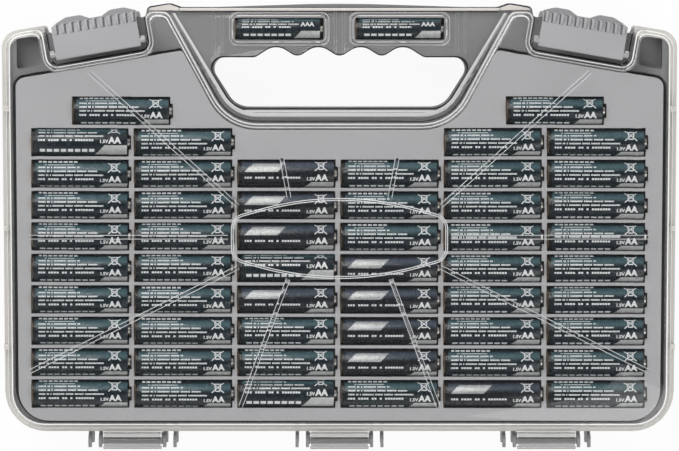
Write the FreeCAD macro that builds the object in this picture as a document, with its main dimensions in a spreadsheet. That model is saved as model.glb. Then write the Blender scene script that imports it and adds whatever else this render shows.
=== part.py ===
"""Battery storage case: a carrying frame with a tray and a clear hinged lid on each side.

The case lies on its rear lid. X runs along the hinges, Y from the hinges to the handle,
Z up from the rear lid to the front lid. Bodies are drawn with Y = 0 at the lids' hinge edge,
and each is then moved so that the whole case is centred over the origin.
Millimetres throughout.
"""
import FreeCAD, Part
import math
import os
import Sketcher

doc = FreeCAD.newDocument("battery_storage_case")
sheet = doc.addObject("Spreadsheet::Sheet", "Sizes")


class Size(float):
    """A number that remembers the sheet formula it was worked out with."""

    def __new__(cls, value, formula):
        number = super().__new__(cls, value)
        number.formula = formula
        return number

    def __add__(self, other):
        return Size(float(self) + float(other), f"({self.formula} + {formula_of(other)})")

    def __radd__(self, other):
        return Size(float(other) + float(self), f"({formula_of(other)} + {self.formula})")

    def __sub__(self, other):
        return Size(float(self) - float(other), f"({self.formula} - {formula_of(other)})")

    def __rsub__(self, other):
        return Size(float(other) - float(self), f"({formula_of(other)} - {self.formula})")

    def __mul__(self, other):
        return Size(float(self) * float(other), f"({self.formula} * {formula_of(other)})")

    def __rmul__(self, other):
        return Size(float(other) * float(self), f"({formula_of(other)} * {self.formula})")

    def __truediv__(self, other):
        return Size(float(self) / float(other), f"({self.formula} / {formula_of(other)})")

    def __neg__(self):
        return Size(-float(self), f"(0 - {self.formula})")


def formula_of(value):
    """The sheet formula of a size, or the plain number."""
    if isinstance(value, Size):
        return value.formula
    return f"({float(value):.9g})"


def size(alias, value):
    """Write a driving dimension to the next row of the sheet and return it as a Size."""
    size.row += 1
    sheet.set(f"A{size.row}", alias)
    sheet.set(f"B{size.row}", str(value))
    sheet.setAlias(f"B{size.row}", alias)
    return Size(value, f"Sizes.{alias}")


size.row = 0


def sine(angle):
    return Size(math.sin(math.radians(angle)), f"sin({formula_of(angle)} * 1 deg)")


def cosine(angle):
    return Size(math.cos(math.radians(angle)), f"cos({formula_of(angle)} * 1 deg)")


# Overall case
case_width = size("case_width", 344.0)
side_flare = size("side_flare", 1.3)
case_height = size("case_height", 219.0)
case_depth = size("case_depth", 64.0)
frame_depth = size("frame_depth", 24.0)
lid_wall = size("lid_wall", 2.0)
foot_corner_radius = size("foot_corner_radius", 21.0)
shoulder_radius = size("shoulder_radius", 9.0)
shoulder_angle = size("shoulder_angle", 9.8)
frame_inset = size("frame_inset", 0.8)
dome_inset = size("dome_inset", 2.4)
dome_tip_radius = size("dome_tip_radius", 4.0)
shoulder_lip = size("shoulder_lip", 1.4)
dome_shoulder_inset = size("dome_shoulder_inset", 1.0)
emboss_rise = size("emboss_rise", 0.45)
badge_half_length = size("badge_half_length", 55.0)
badge_half_height = size("badge_half_height", 11.0)
badge_crown = size("badge_crown", 15.0)
badge_y = size("badge_y", 99.5)
badge_corner_radius = size("badge_corner_radius", 8.0)
badge_crown_radius = size("badge_crown_radius", 150.0)
badge_line = size("badge_line", 1.4)
ray_width = size("ray_width", 2.7)
snap_tab_length = size("snap_tab_length", 3.0)
snap_tab_rise = size("snap_tab_rise", 7.0)

# Handle and its opening
handle_end = size("handle_end", 81.0)
handle_drop = size("handle_drop", 2.2)
horn_rise = size("horn_rise", 2.0)
horn_slope = size("horn_slope", 2.2)
grip_half_width = size("grip_half_width", 69.4)
grip_foot_half_width = size("grip_foot_half_width", 53.1)
grip_top = size("grip_top", 190.9)
grip_bottom = size("grip_bottom", 165.3)
grip_top_radius = size("grip_top_radius", 6.0)
grip_foot_radius = size("grip_foot_radius", 12.0)
finger_pitch = size("finger_pitch", 21.5)
finger_rise = size("finger_rise", 6.8)
finger_radius = size("finger_radius", 9.0)
knuckle_radius = size("knuckle_radius", 5.0)
bridge_top = size("bridge_top", 158.0)
bridge_half_width = size("bridge_half_width", 56.0)
bridge_radius = size("bridge_radius", 24.0)
horn_half_width = size("horn_half_width", 86.6)

# Latches
latch_x = size("latch_x", 122.0)
latch_foot = size("latch_foot", 194.4)
latch_length = size("latch_length", 43.3)
latch_face = size("latch_face", 16.1)
latch_wall = size("latch_wall", 2.6)
latch_top_gap = size("latch_top_gap", 0.4)
latch_reach = size("latch_reach", 27.6)
latch_pin_radius = size("latch_pin_radius", 1.3)
latch_pin_inset = size("latch_pin_inset", 1.6)
latch_pin_clearance = size("latch_pin_clearance", 0.05)
latch_front_gap = size("latch_front_gap", 2.4)
latch_corner_radius = size("latch_corner_radius", 4.5)
latch_rib_pitch = size("latch_rib_pitch", 3.95)
latch_rib_count = 11
latch_rib_width = size("latch_rib_width", 1.9)
latch_rib_length = size("latch_rib_length", 5.4)
latch_rib_height = size("latch_rib_height", 0.7)
latch_rib_bevel = size("latch_rib_bevel", 1.8)
latch_lip_rise = size("latch_lip_rise", 3.6)
ear_wall = size("ear_wall", 2.2)
ear_reach = size("ear_reach", 2.4)
ear_side_gap = size("ear_side_gap", 0.55)
notch_side_gap = size("notch_side_gap", 4.2)
notch_foot_gap = size("notch_foot_gap", 4.0)
notch_radius = size("notch_radius", 5.0)

# Hinges
hinge_pitch = size("hinge_pitch", 105.8)
hinge_count = 3
hinge_drop = size("hinge_drop", 5.0)
hinge_rise = size("hinge_rise", 2.0)
barrel_radius = size("barrel_radius", 4.3)
barrel_length = size("barrel_length", 30.0)
barrel_clearance = size("barrel_clearance", 0.1)
web_rise = size("web_rise", 5.5)
rod_radius = size("rod_radius", 1.7)
rod_length = size("rod_length", 45.0)
lug_wall = size("lug_wall", 1.6)
lug_gap = size("lug_gap", 3.7)
lug_radius = size("lug_radius", 3.2)
lug_root = size("lug_root", 2.2)
lug_depth = size("lug_depth", 10.0)
lug_bevel = size("lug_bevel", 1.3)
lug_relief = size("lug_relief", 0.3)

# Cells and their wells
cell_radius = size("cell_radius", 7.1)
cell_body = size("cell_body", 49.2)
nub_length = size("nub_length", 1.2)
nub_radius = size("nub_radius", 2.75)
small_cell_radius = size("small_cell_radius", 5.2)
small_cell_body = size("small_cell_body", 43.4)
small_nub_length = size("small_nub_length", 1.1)
small_nub_radius = size("small_nub_radius", 1.9)
cell_clearance = size("cell_clearance", 0.2)
can_sides = 16
tip_sides = 8
cell_proud = size("cell_proud", 3.1)
neck_half = size("neck_half", 3.6)
row_pitch = size("row_pitch", 16.0)
column_pitch = size("column_pitch", 52.4)
lowest_row = size("lowest_row", 20.0)
extra_cell_x = size("extra_cell_x", 110.0)
small_cell_x = size("small_cell_x", 30.7)
small_cell_y = size("small_cell_y", 205.5)
small_cell_sunk = size("small_cell_sunk", 1.0)

# Trays
tray_side = size("tray_side", 7.7)
tray_foot = size("tray_foot", 6.3)
tray_corner_radius = size("tray_corner_radius", 15.5)
tray_top_gap = size("tray_top_gap", 3.6)
tray_notch_gap = size("tray_notch_gap", 0.9)
tray_rise = size("tray_rise", 12.5)
tray_wall = size("tray_wall", 2.2)
frame_band = size("frame_band", 14.0)
bay_foot = size("bay_foot", 13.0)
bay_top = size("bay_top", 148.0)
bay_radius = size("bay_radius", 8.0)
trough_radius = size("trough_radius", 17.3)
trough_pitch = size("trough_pitch", 41.0)
trough_length = size("trough_length", 296.0)
trough_count = 3
rear_tray_floor = size("rear_tray_floor", 2.0)
moat_width = size("moat_width", 1.4)
moat_depth = size("moat_depth", 6.0)
corner_pocket_depth = size("corner_pocket_depth", 9.0)
corner_pocket_width = size("corner_pocket_width", 12.2)
corner_pocket_height = size("corner_pocket_height", 17.0)

# Raised detail on the lid over the handle
window_length = size("window_length", 51.4)
window_height = size("window_height", 17.2)
window_rise = size("window_rise", 4.6)
well_rim_length = size("well_rim_length", 47.0)
well_rim_height = size("well_rim_height", 13.7)
well_rim_rise = size("well_rim_rise", 1.2)
window_radius = size("window_radius", 4.0)
window_wall = size("window_wall", 1.6)
strap_rib = size("strap_rib", 1.4)
strap_gap = size("strap_gap", 2.8)
strap_rise = size("strap_rise", 1.2)
strap_x = size("strap_x", 62.0)
strap_low = size("strap_low", 193.5)
strap_high = size("strap_high", 215.5)

# Levels and places that follow from the sizes above
middle = case_depth / 2
front_face = middle + frame_depth / 2
rear_face = middle - frame_depth / 2
half_width = case_width / 2
hinge_z = front_face + hinge_rise
tray_top = front_face + tray_rise
cell_z = tray_top + cell_proud - cell_radius
small_cell_z = front_face - small_cell_sunk
latch_pin_z = case_depth - latch_front_gap - latch_wall / 2
centre_y = (case_height - hinge_drop - barrel_radius) / 2
doc.recompute()


def bind(item, property_name, value):
    """Give a property its value, and tie it to the sheet where the value is a Size."""
    if isinstance(value, Size):
        item.setExpression(property_name, value.formula)
    else:
        item.setExpression(property_name, f"{float(value):.9g}")


# How far a corner of the handle leg moves sideways when its outline is inset,
# and how much longer a sideways gap to the leg is than one square to it
leg_share = 0.6
leg_stretch = 1.13

# Ends of the embossed rays: shares of the badge's half length and of its half height
# from its middle, then shares of the case's half width and of its height
rays = (
    (0.936, 1.50, 0.737, 0.840),
    (1.027, 0.06, 0.915, 0.4575),
    (0.930, -1.32, 0.912, 0.146),
    (0.464, 1.87, 0.170, 0.640),
    (0.473, -1.87, 0.292, 0.064),
)
snap_tab_places = (0.199, 0.475, 0.753)


def plane_of(body, role):
    for feature in body.Origin.OriginFeatures:
        if feature.Role == role:
            return feature
    raise ValueError(role)


def new_body(name):
    body = doc.addObject("PartDesign::Body", name)
    body.Label = name
    return body


def sketch_on(body, name, role, level=0.0, shift_x=0.0, shift_y=0.0):
    """A sketch on one of the body's own planes, lifted by level and shifted in its plane."""
    sketch = body.newObject("Sketcher::SketchObject", name)
    sketch.AttachmentSupport = [(plane_of(body, role), "")]
    sketch.MapMode = "FlatFace"
    bind(sketch, "AttachmentOffset.Base.x", shift_x)
    bind(sketch, "AttachmentOffset.Base.y", shift_y)
    bind(sketch, "AttachmentOffset.Base.z", level)
    return sketch


def constrain_all(sketch, sized):
    """Add constraints that each end in a size, and tie them to the sheet."""
    start = len(sketch.Constraints)
    sketch.addConstraint([
        Sketcher.Constraint(kind, *where, float(value)) for kind, *where, value in sized
    ])
    for number, (*_, value) in enumerate(sized):
        if isinstance(value, Size):
            sketch.setExpression(f"Constraints[{start + number}]", value.formula)


def add_outline(sketch, corners):
    """Draw a closed outline of straight runs with rounded corners.

    Each corner is (x, y, radius), and a radius of zero leaves it sharp.
    """
    count = len(corners)
    points = [FreeCAD.Vector(float(x), float(y), 0) for x, y, _ in corners]
    headings = [(points[(i + 1) % count] - points[i]).normalize() for i in range(count)]
    starts, ends, centres, turns = [], [], [], []
    for i, (_, _, radius) in enumerate(corners):
        before, after = headings[i - 1], headings[i]
        turn = math.atan2(before.x * after.y - before.y * after.x, before.dot(after))
        reach = float(radius) * math.tan(abs(turn) / 2)
        starts.append(points[i] - before * reach)
        ends.append(points[i] + after * reach)
        side = 1 if turn > 0 else -1
        centres.append(starts[i] + FreeCAD.Vector(-before.y, before.x, 0) * float(radius) * side)
        turns.append(turn)
    lines = [
        sketch.addGeometry(Part.LineSegment(ends[i], starts[(i + 1) % count]), False)
        for i in range(count)
    ]
    links, sized = [], []
    for i, (x, y, radius) in enumerate(corners):
        before, after = lines[i - 1], lines[i]
        if radius == 0:
            links.append(Sketcher.Constraint("Coincident", before, 2, after, 1))
            sized += [("DistanceX", after, 1, x), ("DistanceY", after, 1, y)]
            continue
        first, last = (starts[i], ends[i]) if turns[i] > 0 else (ends[i], starts[i])
        spoke_a, spoke_b = first - centres[i], last - centres[i]
        circle = Part.Circle(centres[i], FreeCAD.Vector(0, 0, 1), float(radius))
        angle_a = math.atan2(spoke_a.y, spoke_a.x)
        angle_b = math.atan2(spoke_b.y, spoke_b.x)
        arc = sketch.addGeometry(Part.ArcOfCircle(circle, angle_a, angle_b), False)
        corner = sketch.addGeometry(Part.Point(points[i]), True)
        arrive, leave = (1, 2) if turns[i] > 0 else (2, 1)
        links += [
            Sketcher.Constraint("Tangent", before, 2, arc, arrive),
            Sketcher.Constraint("Tangent", arc, leave, after, 1),
            Sketcher.Constraint("PointOnObject", corner, 1, before),
            Sketcher.Constraint("PointOnObject", corner, 1, after),
        ]
        sized += [
            ("Radius", arc, radius),
            ("DistanceX", corner, 1, x),
            ("DistanceY", corner, 1, y),
        ]
    sketch.addConstraint(links)
    constrain_all(sketch, sized)


def add_box(sketch, left, right, low, high, radius=0.0):
    add_outline(sketch, [
        (left, low, radius),
        (right, low, radius),
        (right, high, radius),
        (left, high, radius),
    ])


def add_circle(sketch, x, y, radius):
    centre = FreeCAD.Vector(float(x), float(y), 0)
    ring = sketch.addGeometry(Part.Circle(centre, FreeCAD.Vector(0, 0, 1), float(radius)), False)
    constrain_all(sketch, [
        ("Radius", ring, radius),
        ("DistanceX", ring, 3, x),
        ("DistanceY", ring, 3, y),
    ])


def mirrored(corners):
    """The left half of an outline, bottom to top, continued down its mirrored right half."""
    return corners + [(-x, y, radius) for x, y, radius in reversed(corners)]


def add_feature(body, kind, name, sketch, length, reverse=False, both=False):
    """A pad or a pocket of one sketch."""
    feature = body.newObject(f"PartDesign::{kind}", name)
    feature.Profile = sketch
    bind(feature, "Length", length)
    feature.Reversed = reverse
    feature.Midplane = both
    sketch.Visibility = False
    return feature


def repeat(body, name, originals, steps):
    """Repeat features along the body's axes: each step is (role, length, occurrences)."""
    patterns = []
    for number, (role, length, occurrences) in enumerate(steps):
        pattern = body.newObject("PartDesign::LinearPattern", f"{name}_step_{number}")
        pattern.Direction = (plane_of(body, role), [""])
        bind(pattern, "Length", length)
        pattern.Occurrences = occurrences
        patterns.append(pattern)
    if len(patterns) == 1:
        patterns[0].Originals = originals
        body.Tip = patterns[0]
        return patterns[0]
    combined = body.newObject("PartDesign::MultiTransform", name)
    combined.Originals = originals
    combined.Transformations = patterns
    body.Tip = combined
    return combined


def place(body, x=0.0, y=0.0, z=0.0, turn=None):
    """Move a finished body into the case's frame."""
    if turn is not None:
        body.Placement.Rotation = turn
    bind(body, "Placement.Base.x", x)
    bind(body, "Placement.Base.y", y - centre_y)
    bind(body, "Placement.Base.z", z)


def latch_point(along, across):
    """A point given along and across the left latch, in the case's own X and Y."""
    x = -latch_x + along * cosine(shoulder_angle) - across * sine(shoulder_angle)
    y = latch_foot + along * sine(shoulder_angle) + across * cosine(shoulder_angle)
    return x, y


def shoulder_y(x):
    """Height of the sloping shoulder's edge at a given X on the left."""
    edge_x, edge_y = latch_point(-latch_length / 2 - notch_side_gap, latch_face + shoulder_lip)
    return edge_y + (x - edge_x) * sine(shoulder_angle) / cosine(shoulder_angle)


def case_outline(inset):
    """Left half of the case's outline, from the hinge edge up to the handle."""
    notch = latch_length / 2 + notch_side_gap
    ledge = latch_face - latch_wall - latch_top_gap
    side = -half_width + inset
    outer_lip = latch_point(-notch, latch_face + shoulder_lip - inset)
    ledge_start = latch_point(-notch, ledge)
    ledge_end = latch_point(notch, ledge)
    horn_y = case_height - handle_drop + horn_rise - inset
    return [
        (side + side_flare, inset, foot_corner_radius - inset),
        (side, shoulder_y(side) - inset, shoulder_radius - inset),
        (*outer_lip, 2.0),
        (*ledge_start, 1.5),
        (*ledge_end, 1.5),
        (ledge_end[0] + 1.0, horn_y - 1.8, 2.5),
        (-horn_half_width, horn_y, 4.0),
        (-handle_end, case_height - handle_drop - inset, 6.0),
        (0.0 * case_width, case_height + handle_drop / 4 - inset, 900.0),
    ]


def whole_case_outline(inset):
    """Both halves of the case's outline, joined at the crown of the handle."""
    left = case_outline(inset)
    return left + [(-x, y, radius) for x, y, radius in reversed(left[:-1])]


def grip_outline():
    """The hand opening, with four finger scallops along its top edge."""
    top = []
    for finger in range(4):
        crest_x = (finger - 1.5) * finger_pitch
        if finger == 0:
            top.append((crest_x - finger_pitch / 2, grip_top, knuckle_radius))
        top.append((crest_x, grip_top + finger_rise, finger_radius))
        top.append((crest_x + finger_pitch / 2, grip_top, knuckle_radius))
    return [
        (-grip_foot_half_width, grip_bottom, grip_foot_radius),
        (-grip_half_width, grip_top, grip_top_radius),
        *top,
        (grip_half_width, grip_top, grip_top_radius),
        (grip_foot_half_width, grip_bottom, grip_foot_radius),
    ]


def cut_grip(body, level, thickness):
    """Cut the hand opening through a plate of the given level and thickness."""
    sketch = sketch_on(body, body.Label + "_grip_sketch", "XY_Plane", level)
    add_outline(sketch, grip_outline())
    add_feature(body, "Pocket", body.Label + "_grip", sketch, thickness, reverse=True)


def dome_outline(inset):
    """Left half of the raised cover over the tray, which dips round the latch."""
    notch = latch_length / 2 + notch_side_gap + inset
    side = -half_width + dome_inset + inset
    foot = -notch_foot_gap - inset
    lip = latch_face + shoulder_lip - dome_shoulder_inset - inset
    outer_lip = latch_point(-notch, lip)
    horn_x = latch_point(notch, lip)[0]
    horn_y = case_height - handle_drop - inset
    return [
        (side + side_flare, dome_inset + inset, foot_corner_radius - dome_inset - inset),
        (side, shoulder_y(side) - dome_shoulder_inset - inset, shoulder_radius - inset),
        (*outer_lip, dome_tip_radius),
        (*latch_point(-notch, foot), notch_radius + inset),
        (*latch_point(notch, foot), notch_radius + inset),
        (horn_x, horn_y - horn_slope, dome_tip_radius),
        (-horn_half_width - inset * leg_share, horn_y - dome_inset, dome_tip_radius * 1.2),
        (-bridge_half_width - inset * leg_share, bridge_top - inset, bridge_radius + inset),
    ]


def add_trough(sketch, y, z, radius, top):
    """A section with straight walls down to the axis and a half-round floor.

    The floor is on the far side of the axis from top, above or below it.
    """
    upright = float(top) > float(z)
    left, right = float(y) - float(radius), float(y) + float(radius)
    axis = FreeCAD.Vector(float(y), float(z), 0)
    wall_l = sketch.addGeometry(
        Part.LineSegment(FreeCAD.Vector(left, z, 0), FreeCAD.Vector(left, top, 0)), False)
    lid_line = sketch.addGeometry(
        Part.LineSegment(FreeCAD.Vector(left, top, 0), FreeCAD.Vector(right, top, 0)), False)
    wall_r = sketch.addGeometry(
        Part.LineSegment(FreeCAD.Vector(right, top, 0), FreeCAD.Vector(right, z, 0)), False)
    circle = Part.Circle(axis, FreeCAD.Vector(0, 0, 1), float(radius))
    if upright:
        floor = sketch.addGeometry(Part.ArcOfCircle(circle, math.pi, 2 * math.pi), False)
        at_left, at_right = 1, 2
    else:
        floor = sketch.addGeometry(Part.ArcOfCircle(circle, 0, math.pi), False)
        at_left, at_right = 2, 1
    sketch.addConstraint([
        Sketcher.Constraint("Tangent", wall_l, 1, floor, at_left),
        Sketcher.Constraint("Tangent", wall_r, 2, floor, at_right),
        Sketcher.Constraint("Coincident", wall_l, 2, lid_line, 1),
        Sketcher.Constraint("Coincident", lid_line, 2, wall_r, 1),
        Sketcher.Constraint("Vertical", wall_l),
        Sketcher.Constraint("Vertical", wall_r),
        Sketcher.Constraint("Horizontal", lid_line),
    ])
    constrain_all(sketch, [
        ("Radius", floor, radius),
        ("DistanceX", floor, 3, y),
        ("DistanceY", floor, 3, z),
        ("DistanceY", lid_line, 1, top),
    ])


def badge_outline(inset):
    """The oval badge: short upright ends, and a long shallow arc above and below."""
    side, ends = badge_half_length - inset, badge_half_height - inset * 0.8
    crown = badge_half_height + badge_crown - inset
    return [
        (-side, badge_y - ends, badge_corner_radius - inset),
        (0.0 * side, badge_y - crown, badge_crown_radius),
        (side, badge_y - ends, badge_corner_radius - inset),
        (side, badge_y + ends, badge_corner_radius - inset),
        (0.0 * side, badge_y + crown, badge_crown_radius),
        (-side, badge_y + ends, badge_corner_radius - inset),
    ]


def lid_emboss(body):
    """Raised line of the badge, the rays that run out from it, and the side snap tabs."""
    name = body.Label
    raised = sketch_on(body, name + "_emboss_sketch", "XY_Plane", case_depth - emboss_rise)
    add_outline(raised, badge_outline(0.0))
    add_outline(raised, badge_outline(badge_line))
    for near_x, near_y, far_x, far_y in rays:
        start_x, start_y = badge_half_length * near_x, badge_y + badge_half_height * near_y
        end_x, end_y = half_width * far_x, case_height * far_y
        reach = math.hypot(end_x - start_x, end_y - start_y)
        shift_x = ray_width * (float(start_y - end_y) / reach / 2)
        shift_y = ray_width * (float(end_x - start_x) / reach / 2)
        for side in (-1, 1):
            strip = [
                (start_x * side - shift_x * side, start_y - shift_y, 0),
                (end_x * side - shift_x * side, end_y - shift_y, 0),
                (end_x * side + shift_x * side, end_y + shift_y, 0),
                (start_x * side + shift_x * side, start_y + shift_y, 0),
            ]
            add_outline(raised, strip if side > 0 else list(reversed(strip)))
    add_feature(body, "Pad", name + "_emboss", raised, emboss_rise)
    tabs = sketch_on(body, name + "_snap_tab_sketch", "XY_Plane", front_face + lid_wall / 2)
    outside = half_width - side_flare - 0.4
    inside = half_width - dome_inset - lid_wall * 0.75
    for share in snap_tab_places:
        low = case_height * share - snap_tab_length / 2
        add_box(tabs, -outside, -inside, low, low + snap_tab_length)
        add_box(tabs, inside, outside, low, low + snap_tab_length)
    add_feature(body, "Pad", name + "_snap_tabs", tabs, snap_tab_rise)


def lid_windows(body):
    """Raised hollow windows over the handle's cells, and the strap ribs beside them."""
    name = body.Label
    half_long, half_high = window_length / 2, window_height / 2
    low, high = small_cell_y - half_high, small_cell_y + half_high
    outer = sketch_on(body, name + "_window_sketch", "XY_Plane", front_face + lid_wall)
    inner = sketch_on(body, name + "_window_hollow_sketch", "XY_Plane", front_face)
    for centre in (-small_cell_x, small_cell_x):
        left, right = centre - half_long, centre + half_long
        add_box(outer, left, right, low, high, window_radius)
        add_box(
            inner, left + window_wall, right - window_wall, low + window_wall,
            high - window_wall, window_radius - window_wall)
    add_feature(body, "Pad", name + "_windows", outer, window_rise)
    hollow_rise = lid_wall + window_rise - window_wall
    add_feature(body, "Pocket", name + "_window_hollows", inner, hollow_rise, reverse=True)
    straps = sketch_on(body, name + "_strap_sketch", "XY_Plane", front_face + lid_wall)
    for centre in (-strap_x, 0.0 * strap_x, strap_x):
        for side in (-1, 1):
            inside = centre + side * strap_gap / 2
            outside = inside + side * strap_rib
            left, right = (inside, outside) if side > 0 else (outside, inside)
            add_box(straps, left, right, strap_low, strap_high)
    add_feature(body, "Pad", name + "_straps", straps, strap_rise)


def lid_ears(body):
    """Two ears for each latch, with the holes that its pins turn in."""
    name = body.Label
    ear = sketch_on(body, name + "_ear_sketch", "YZ_Plane")
    ear.AttachmentOffset = FreeCAD.Placement(
        FreeCAD.Vector(0, 0, 0), FreeCAD.Rotation(FreeCAD.Vector(0, 1, 0), float(shoulder_angle)))
    ear.setExpression("AttachmentOffset.Rotation.Angle", shoulder_angle.formula)
    first = -latch_length / 2 - ear_side_gap - ear_wall
    start_x, start_y = latch_point(first, 0.0 * latch_x)
    bind(ear, "AttachmentOffset.Base.x", start_y)
    bind(ear, "AttachmentOffset.Base.y", 0.0 * latch_x)
    bind(ear, "AttachmentOffset.Base.z", start_x)
    add_outline(ear, [
        (-notch_foot_gap - lid_wall, front_face + lid_wall / 2, 0),
        (latch_pin_inset + ear_reach, front_face + lid_wall / 2, 0),
        (latch_pin_inset + ear_reach, latch_pin_z + ear_reach, ear_reach * 0.9),
        (-notch_foot_gap - lid_wall, latch_pin_z + ear_reach, 0),
    ])
    add_circle(ear, latch_pin_inset, latch_pin_z, latch_pin_radius + latch_pin_clearance)
    blade = add_feature(body, "Pad", name + "_ear", ear, ear_wall)
    doc.recompute()
    pair = body.newObject("PartDesign::LinearPattern", name + "_ear_pair")
    pair.Direction = (ear, ["N_Axis"])
    bind(pair, "Length", latch_length + ear_side_gap * 2 + ear_wall)
    pair.Occurrences = 2
    other = body.newObject("PartDesign::Mirrored", name + "_ear_mirror")
    other.MirrorPlane = (plane_of(body, "YZ_Plane"), [""])
    ears = body.newObject("PartDesign::MultiTransform", name + "_ears")
    ears.Originals = [blade]
    ears.Transformations = [pair, other]
    body.Tip = ears


def lid_barrels(body):
    """Hinge barrels that turn on the frame's rods, each with a web to the rim."""
    name = body.Label
    first = -hinge_pitch * (hinge_count - 1) / 2
    web = sketch_on(body, name + "_web_sketch", "YZ_Plane", first)
    add_box(web, -hinge_drop + rod_radius, dome_inset + lid_wall / 2,
            front_face + barrel_clearance * 5, front_face + web_rise)
    web_pad = add_feature(body, "Pad", name + "_web", web, barrel_length, both=True)
    ring = sketch_on(body, name + "_barrel_sketch", "YZ_Plane", first)
    add_circle(ring, -hinge_drop, hinge_z, barrel_radius)
    ring_pad = add_feature(body, "Pad", name + "_barrel", ring, barrel_length, both=True)
    bore = sketch_on(body, name + "_bore_sketch", "YZ_Plane", first)
    add_circle(bore, -hinge_drop, hinge_z, rod_radius + barrel_clearance)
    bore_cut = add_feature(body, "Pocket", name + "_bore", bore, barrel_length + 1.0, both=True)
    doc.recompute()
    repeat(body, name + "_barrels", [web_pad, ring_pad, bore_cut],
           [("X_Axis", hinge_pitch * (hinge_count - 1), hinge_count)])


def frame_relief(body, name, level, upward):
    """The moat that the tray's edge stands in, and the hollow corners outside the latches."""
    moat = sketch_on(body, name + "_moat_sketch", "XY_Plane", level)
    add_outline(moat, mirrored(tray_outline(0.1)))
    add_outline(moat, mirrored(tray_outline(moat_width)))
    add_feature(body, "Pocket", name + "_moat", moat, moat_depth, reverse=upward)
    corner = sketch_on(body, name + "_corner_sketch", "XY_Plane", level)
    slope = sine(shoulder_angle) / cosine(shoulder_angle)
    outside = -half_width + tray_side - 0.3
    inside = outside + corner_pocket_width
    low = shoulder_y(outside) - dome_shoulder_inset - lid_wall - corner_pocket_height
    rise = corner_pocket_width * slope
    for side in (-1, 1):
        quad = [
            (outside * -side, low, 1.5),
            (inside * -side, low + rise, 1.5),
            (inside * -side, low + rise + corner_pocket_height, 1.5),
            (outside * -side, low + corner_pocket_height, 1.5),
        ]
        add_outline(corner, quad if side < 0 else list(reversed(quad)))
    add_feature(body, "Pocket", name + "_corners", corner, corner_pocket_depth, reverse=upward)


def make_frame():
    """Centre frame, handle, hinge lugs and rods: one moulding."""
    body = new_body("frame")
    outline = sketch_on(body, "frame_sketch", "XY_Plane", rear_face)
    add_outline(outline, whole_case_outline(frame_inset))
    add_feature(body, "Pad", "frame_band", outline, frame_depth)
    bay = sketch_on(body, "tray_bay_sketch", "XY_Plane", rear_face)
    side = half_width - frame_band
    add_box(bay, -side, side, bay_foot, bay_top, bay_radius)
    add_feature(body, "Pocket", "tray_bay", bay, frame_depth, reverse=True)
    cut_grip(body, rear_face, frame_depth)

    frame_relief(body, "front", front_face, False)
    frame_relief(body, "rear", rear_face, True)

    rims = sketch_on(body, "small_well_rim_sketch", "XY_Plane", front_face)
    half_long, half_high = well_rim_length / 2, well_rim_height / 2
    for centre in (-small_cell_x, small_cell_x):
        add_box(rims, centre - half_long, centre + half_long,
                small_cell_y - half_high, small_cell_y + half_high, 1.5)
    add_feature(body, "Pad", "small_well_rims", rims, well_rim_rise)
    doc.recompute()

    trough = sketch_on(body, "small_well_sketch", "YZ_Plane", -small_cell_x)
    add_trough(trough, small_cell_y, small_cell_z,
               small_cell_radius + cell_clearance, front_face + well_rim_rise + 1.0)
    length = small_cell_body + small_nub_length + cell_clearance * 2
    well = add_feature(body, "Pocket", "small_well", trough, length, both=True)
    doc.recompute()
    repeat(body, "small_wells", [well], [("X_Axis", small_cell_x * 2, 2)])

    first = -hinge_pitch * (hinge_count - 1) / 2
    rod = sketch_on(body, "rod_sketch", "YZ_Plane", first)
    lug = sketch_on(body, "lug_sketch", "YZ_Plane", first - rod_length / 2 + lug_wall / 2)
    for axis_z, flip in ((hinge_z, 1), (case_depth - hinge_z, -1)):
        add_circle(rod, -hinge_drop, axis_z, rod_radius)
        face = middle + flip * frame_depth / 2
        corners = [
            (-hinge_drop - lug_radius, axis_z + flip * lug_bevel, 0),
            (-hinge_drop - lug_bevel, axis_z + flip * lug_radius, 0),
            (-hinge_drop + lug_bevel, axis_z + flip * lug_radius, 0),
            (-hinge_drop + lug_radius, axis_z + flip * lug_bevel, 0),
            (-hinge_drop + lug_radius, face - flip * lug_relief, 0),
            (frame_inset + lug_root, face - flip * lug_relief, 0),
            (frame_inset + lug_root, face - flip * lug_depth, 0),
            (-hinge_drop - lug_radius, face - flip * lug_relief, 0),
        ]
        add_outline(lug, corners if flip > 0 else list(reversed(corners)))
    lug_pad = add_feature(body, "Pad", "lug", lug, lug_wall, both=True)
    doc.recompute()
    repeat(body, "lugs", [lug_pad], [
        ("X_Axis", lug_gap + lug_wall, 2),
        ("X_Axis", rod_length - lug_wall * 2 - lug_gap, 2),
        ("X_Axis", hinge_pitch * (hinge_count - 1), hinge_count),
    ])
    rod_pad = add_feature(body, "Pad", "rod", rod, rod_length - (lug_wall + lug_gap) * 2, both=True)
    doc.recompute()
    repeat(body, "rods", [rod_pad], [("X_Axis", hinge_pitch * (hinge_count - 1), hinge_count)])
    place(body)
    return body


def tray_outline(grow=0.0):
    """Left half of the tray's outline: it stops short of the latch and follows the handle leg."""
    side = -half_width + tray_side - grow
    slope = sine(shoulder_angle) / cosine(shoulder_angle)
    line_x, line_y = latch_point(0.0 * latch_x, -notch_foot_gap - lid_wall - tray_notch_gap + grow)
    leg_top = case_height - handle_drop
    lean = (bridge_half_width - horn_half_width) / (leg_top - bridge_top)
    leg_x = -bridge_half_width - bridge_top * lean - (tray_top_gap - grow) * leg_stretch
    high_y = (line_y + (leg_x - line_x) * slope) / (1.0 - lean * slope)
    low_y = bridge_top - tray_top_gap + grow
    return [
        (side + side_flare, tray_foot - grow, tray_corner_radius + grow),
        (side, line_y + (side - line_x) * slope, 5.0),
        (leg_x + high_y * lean, high_y, 4.0),
        (leg_x + low_y * lean, low_y, bridge_radius + tray_top_gap / 2),
    ]


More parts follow.
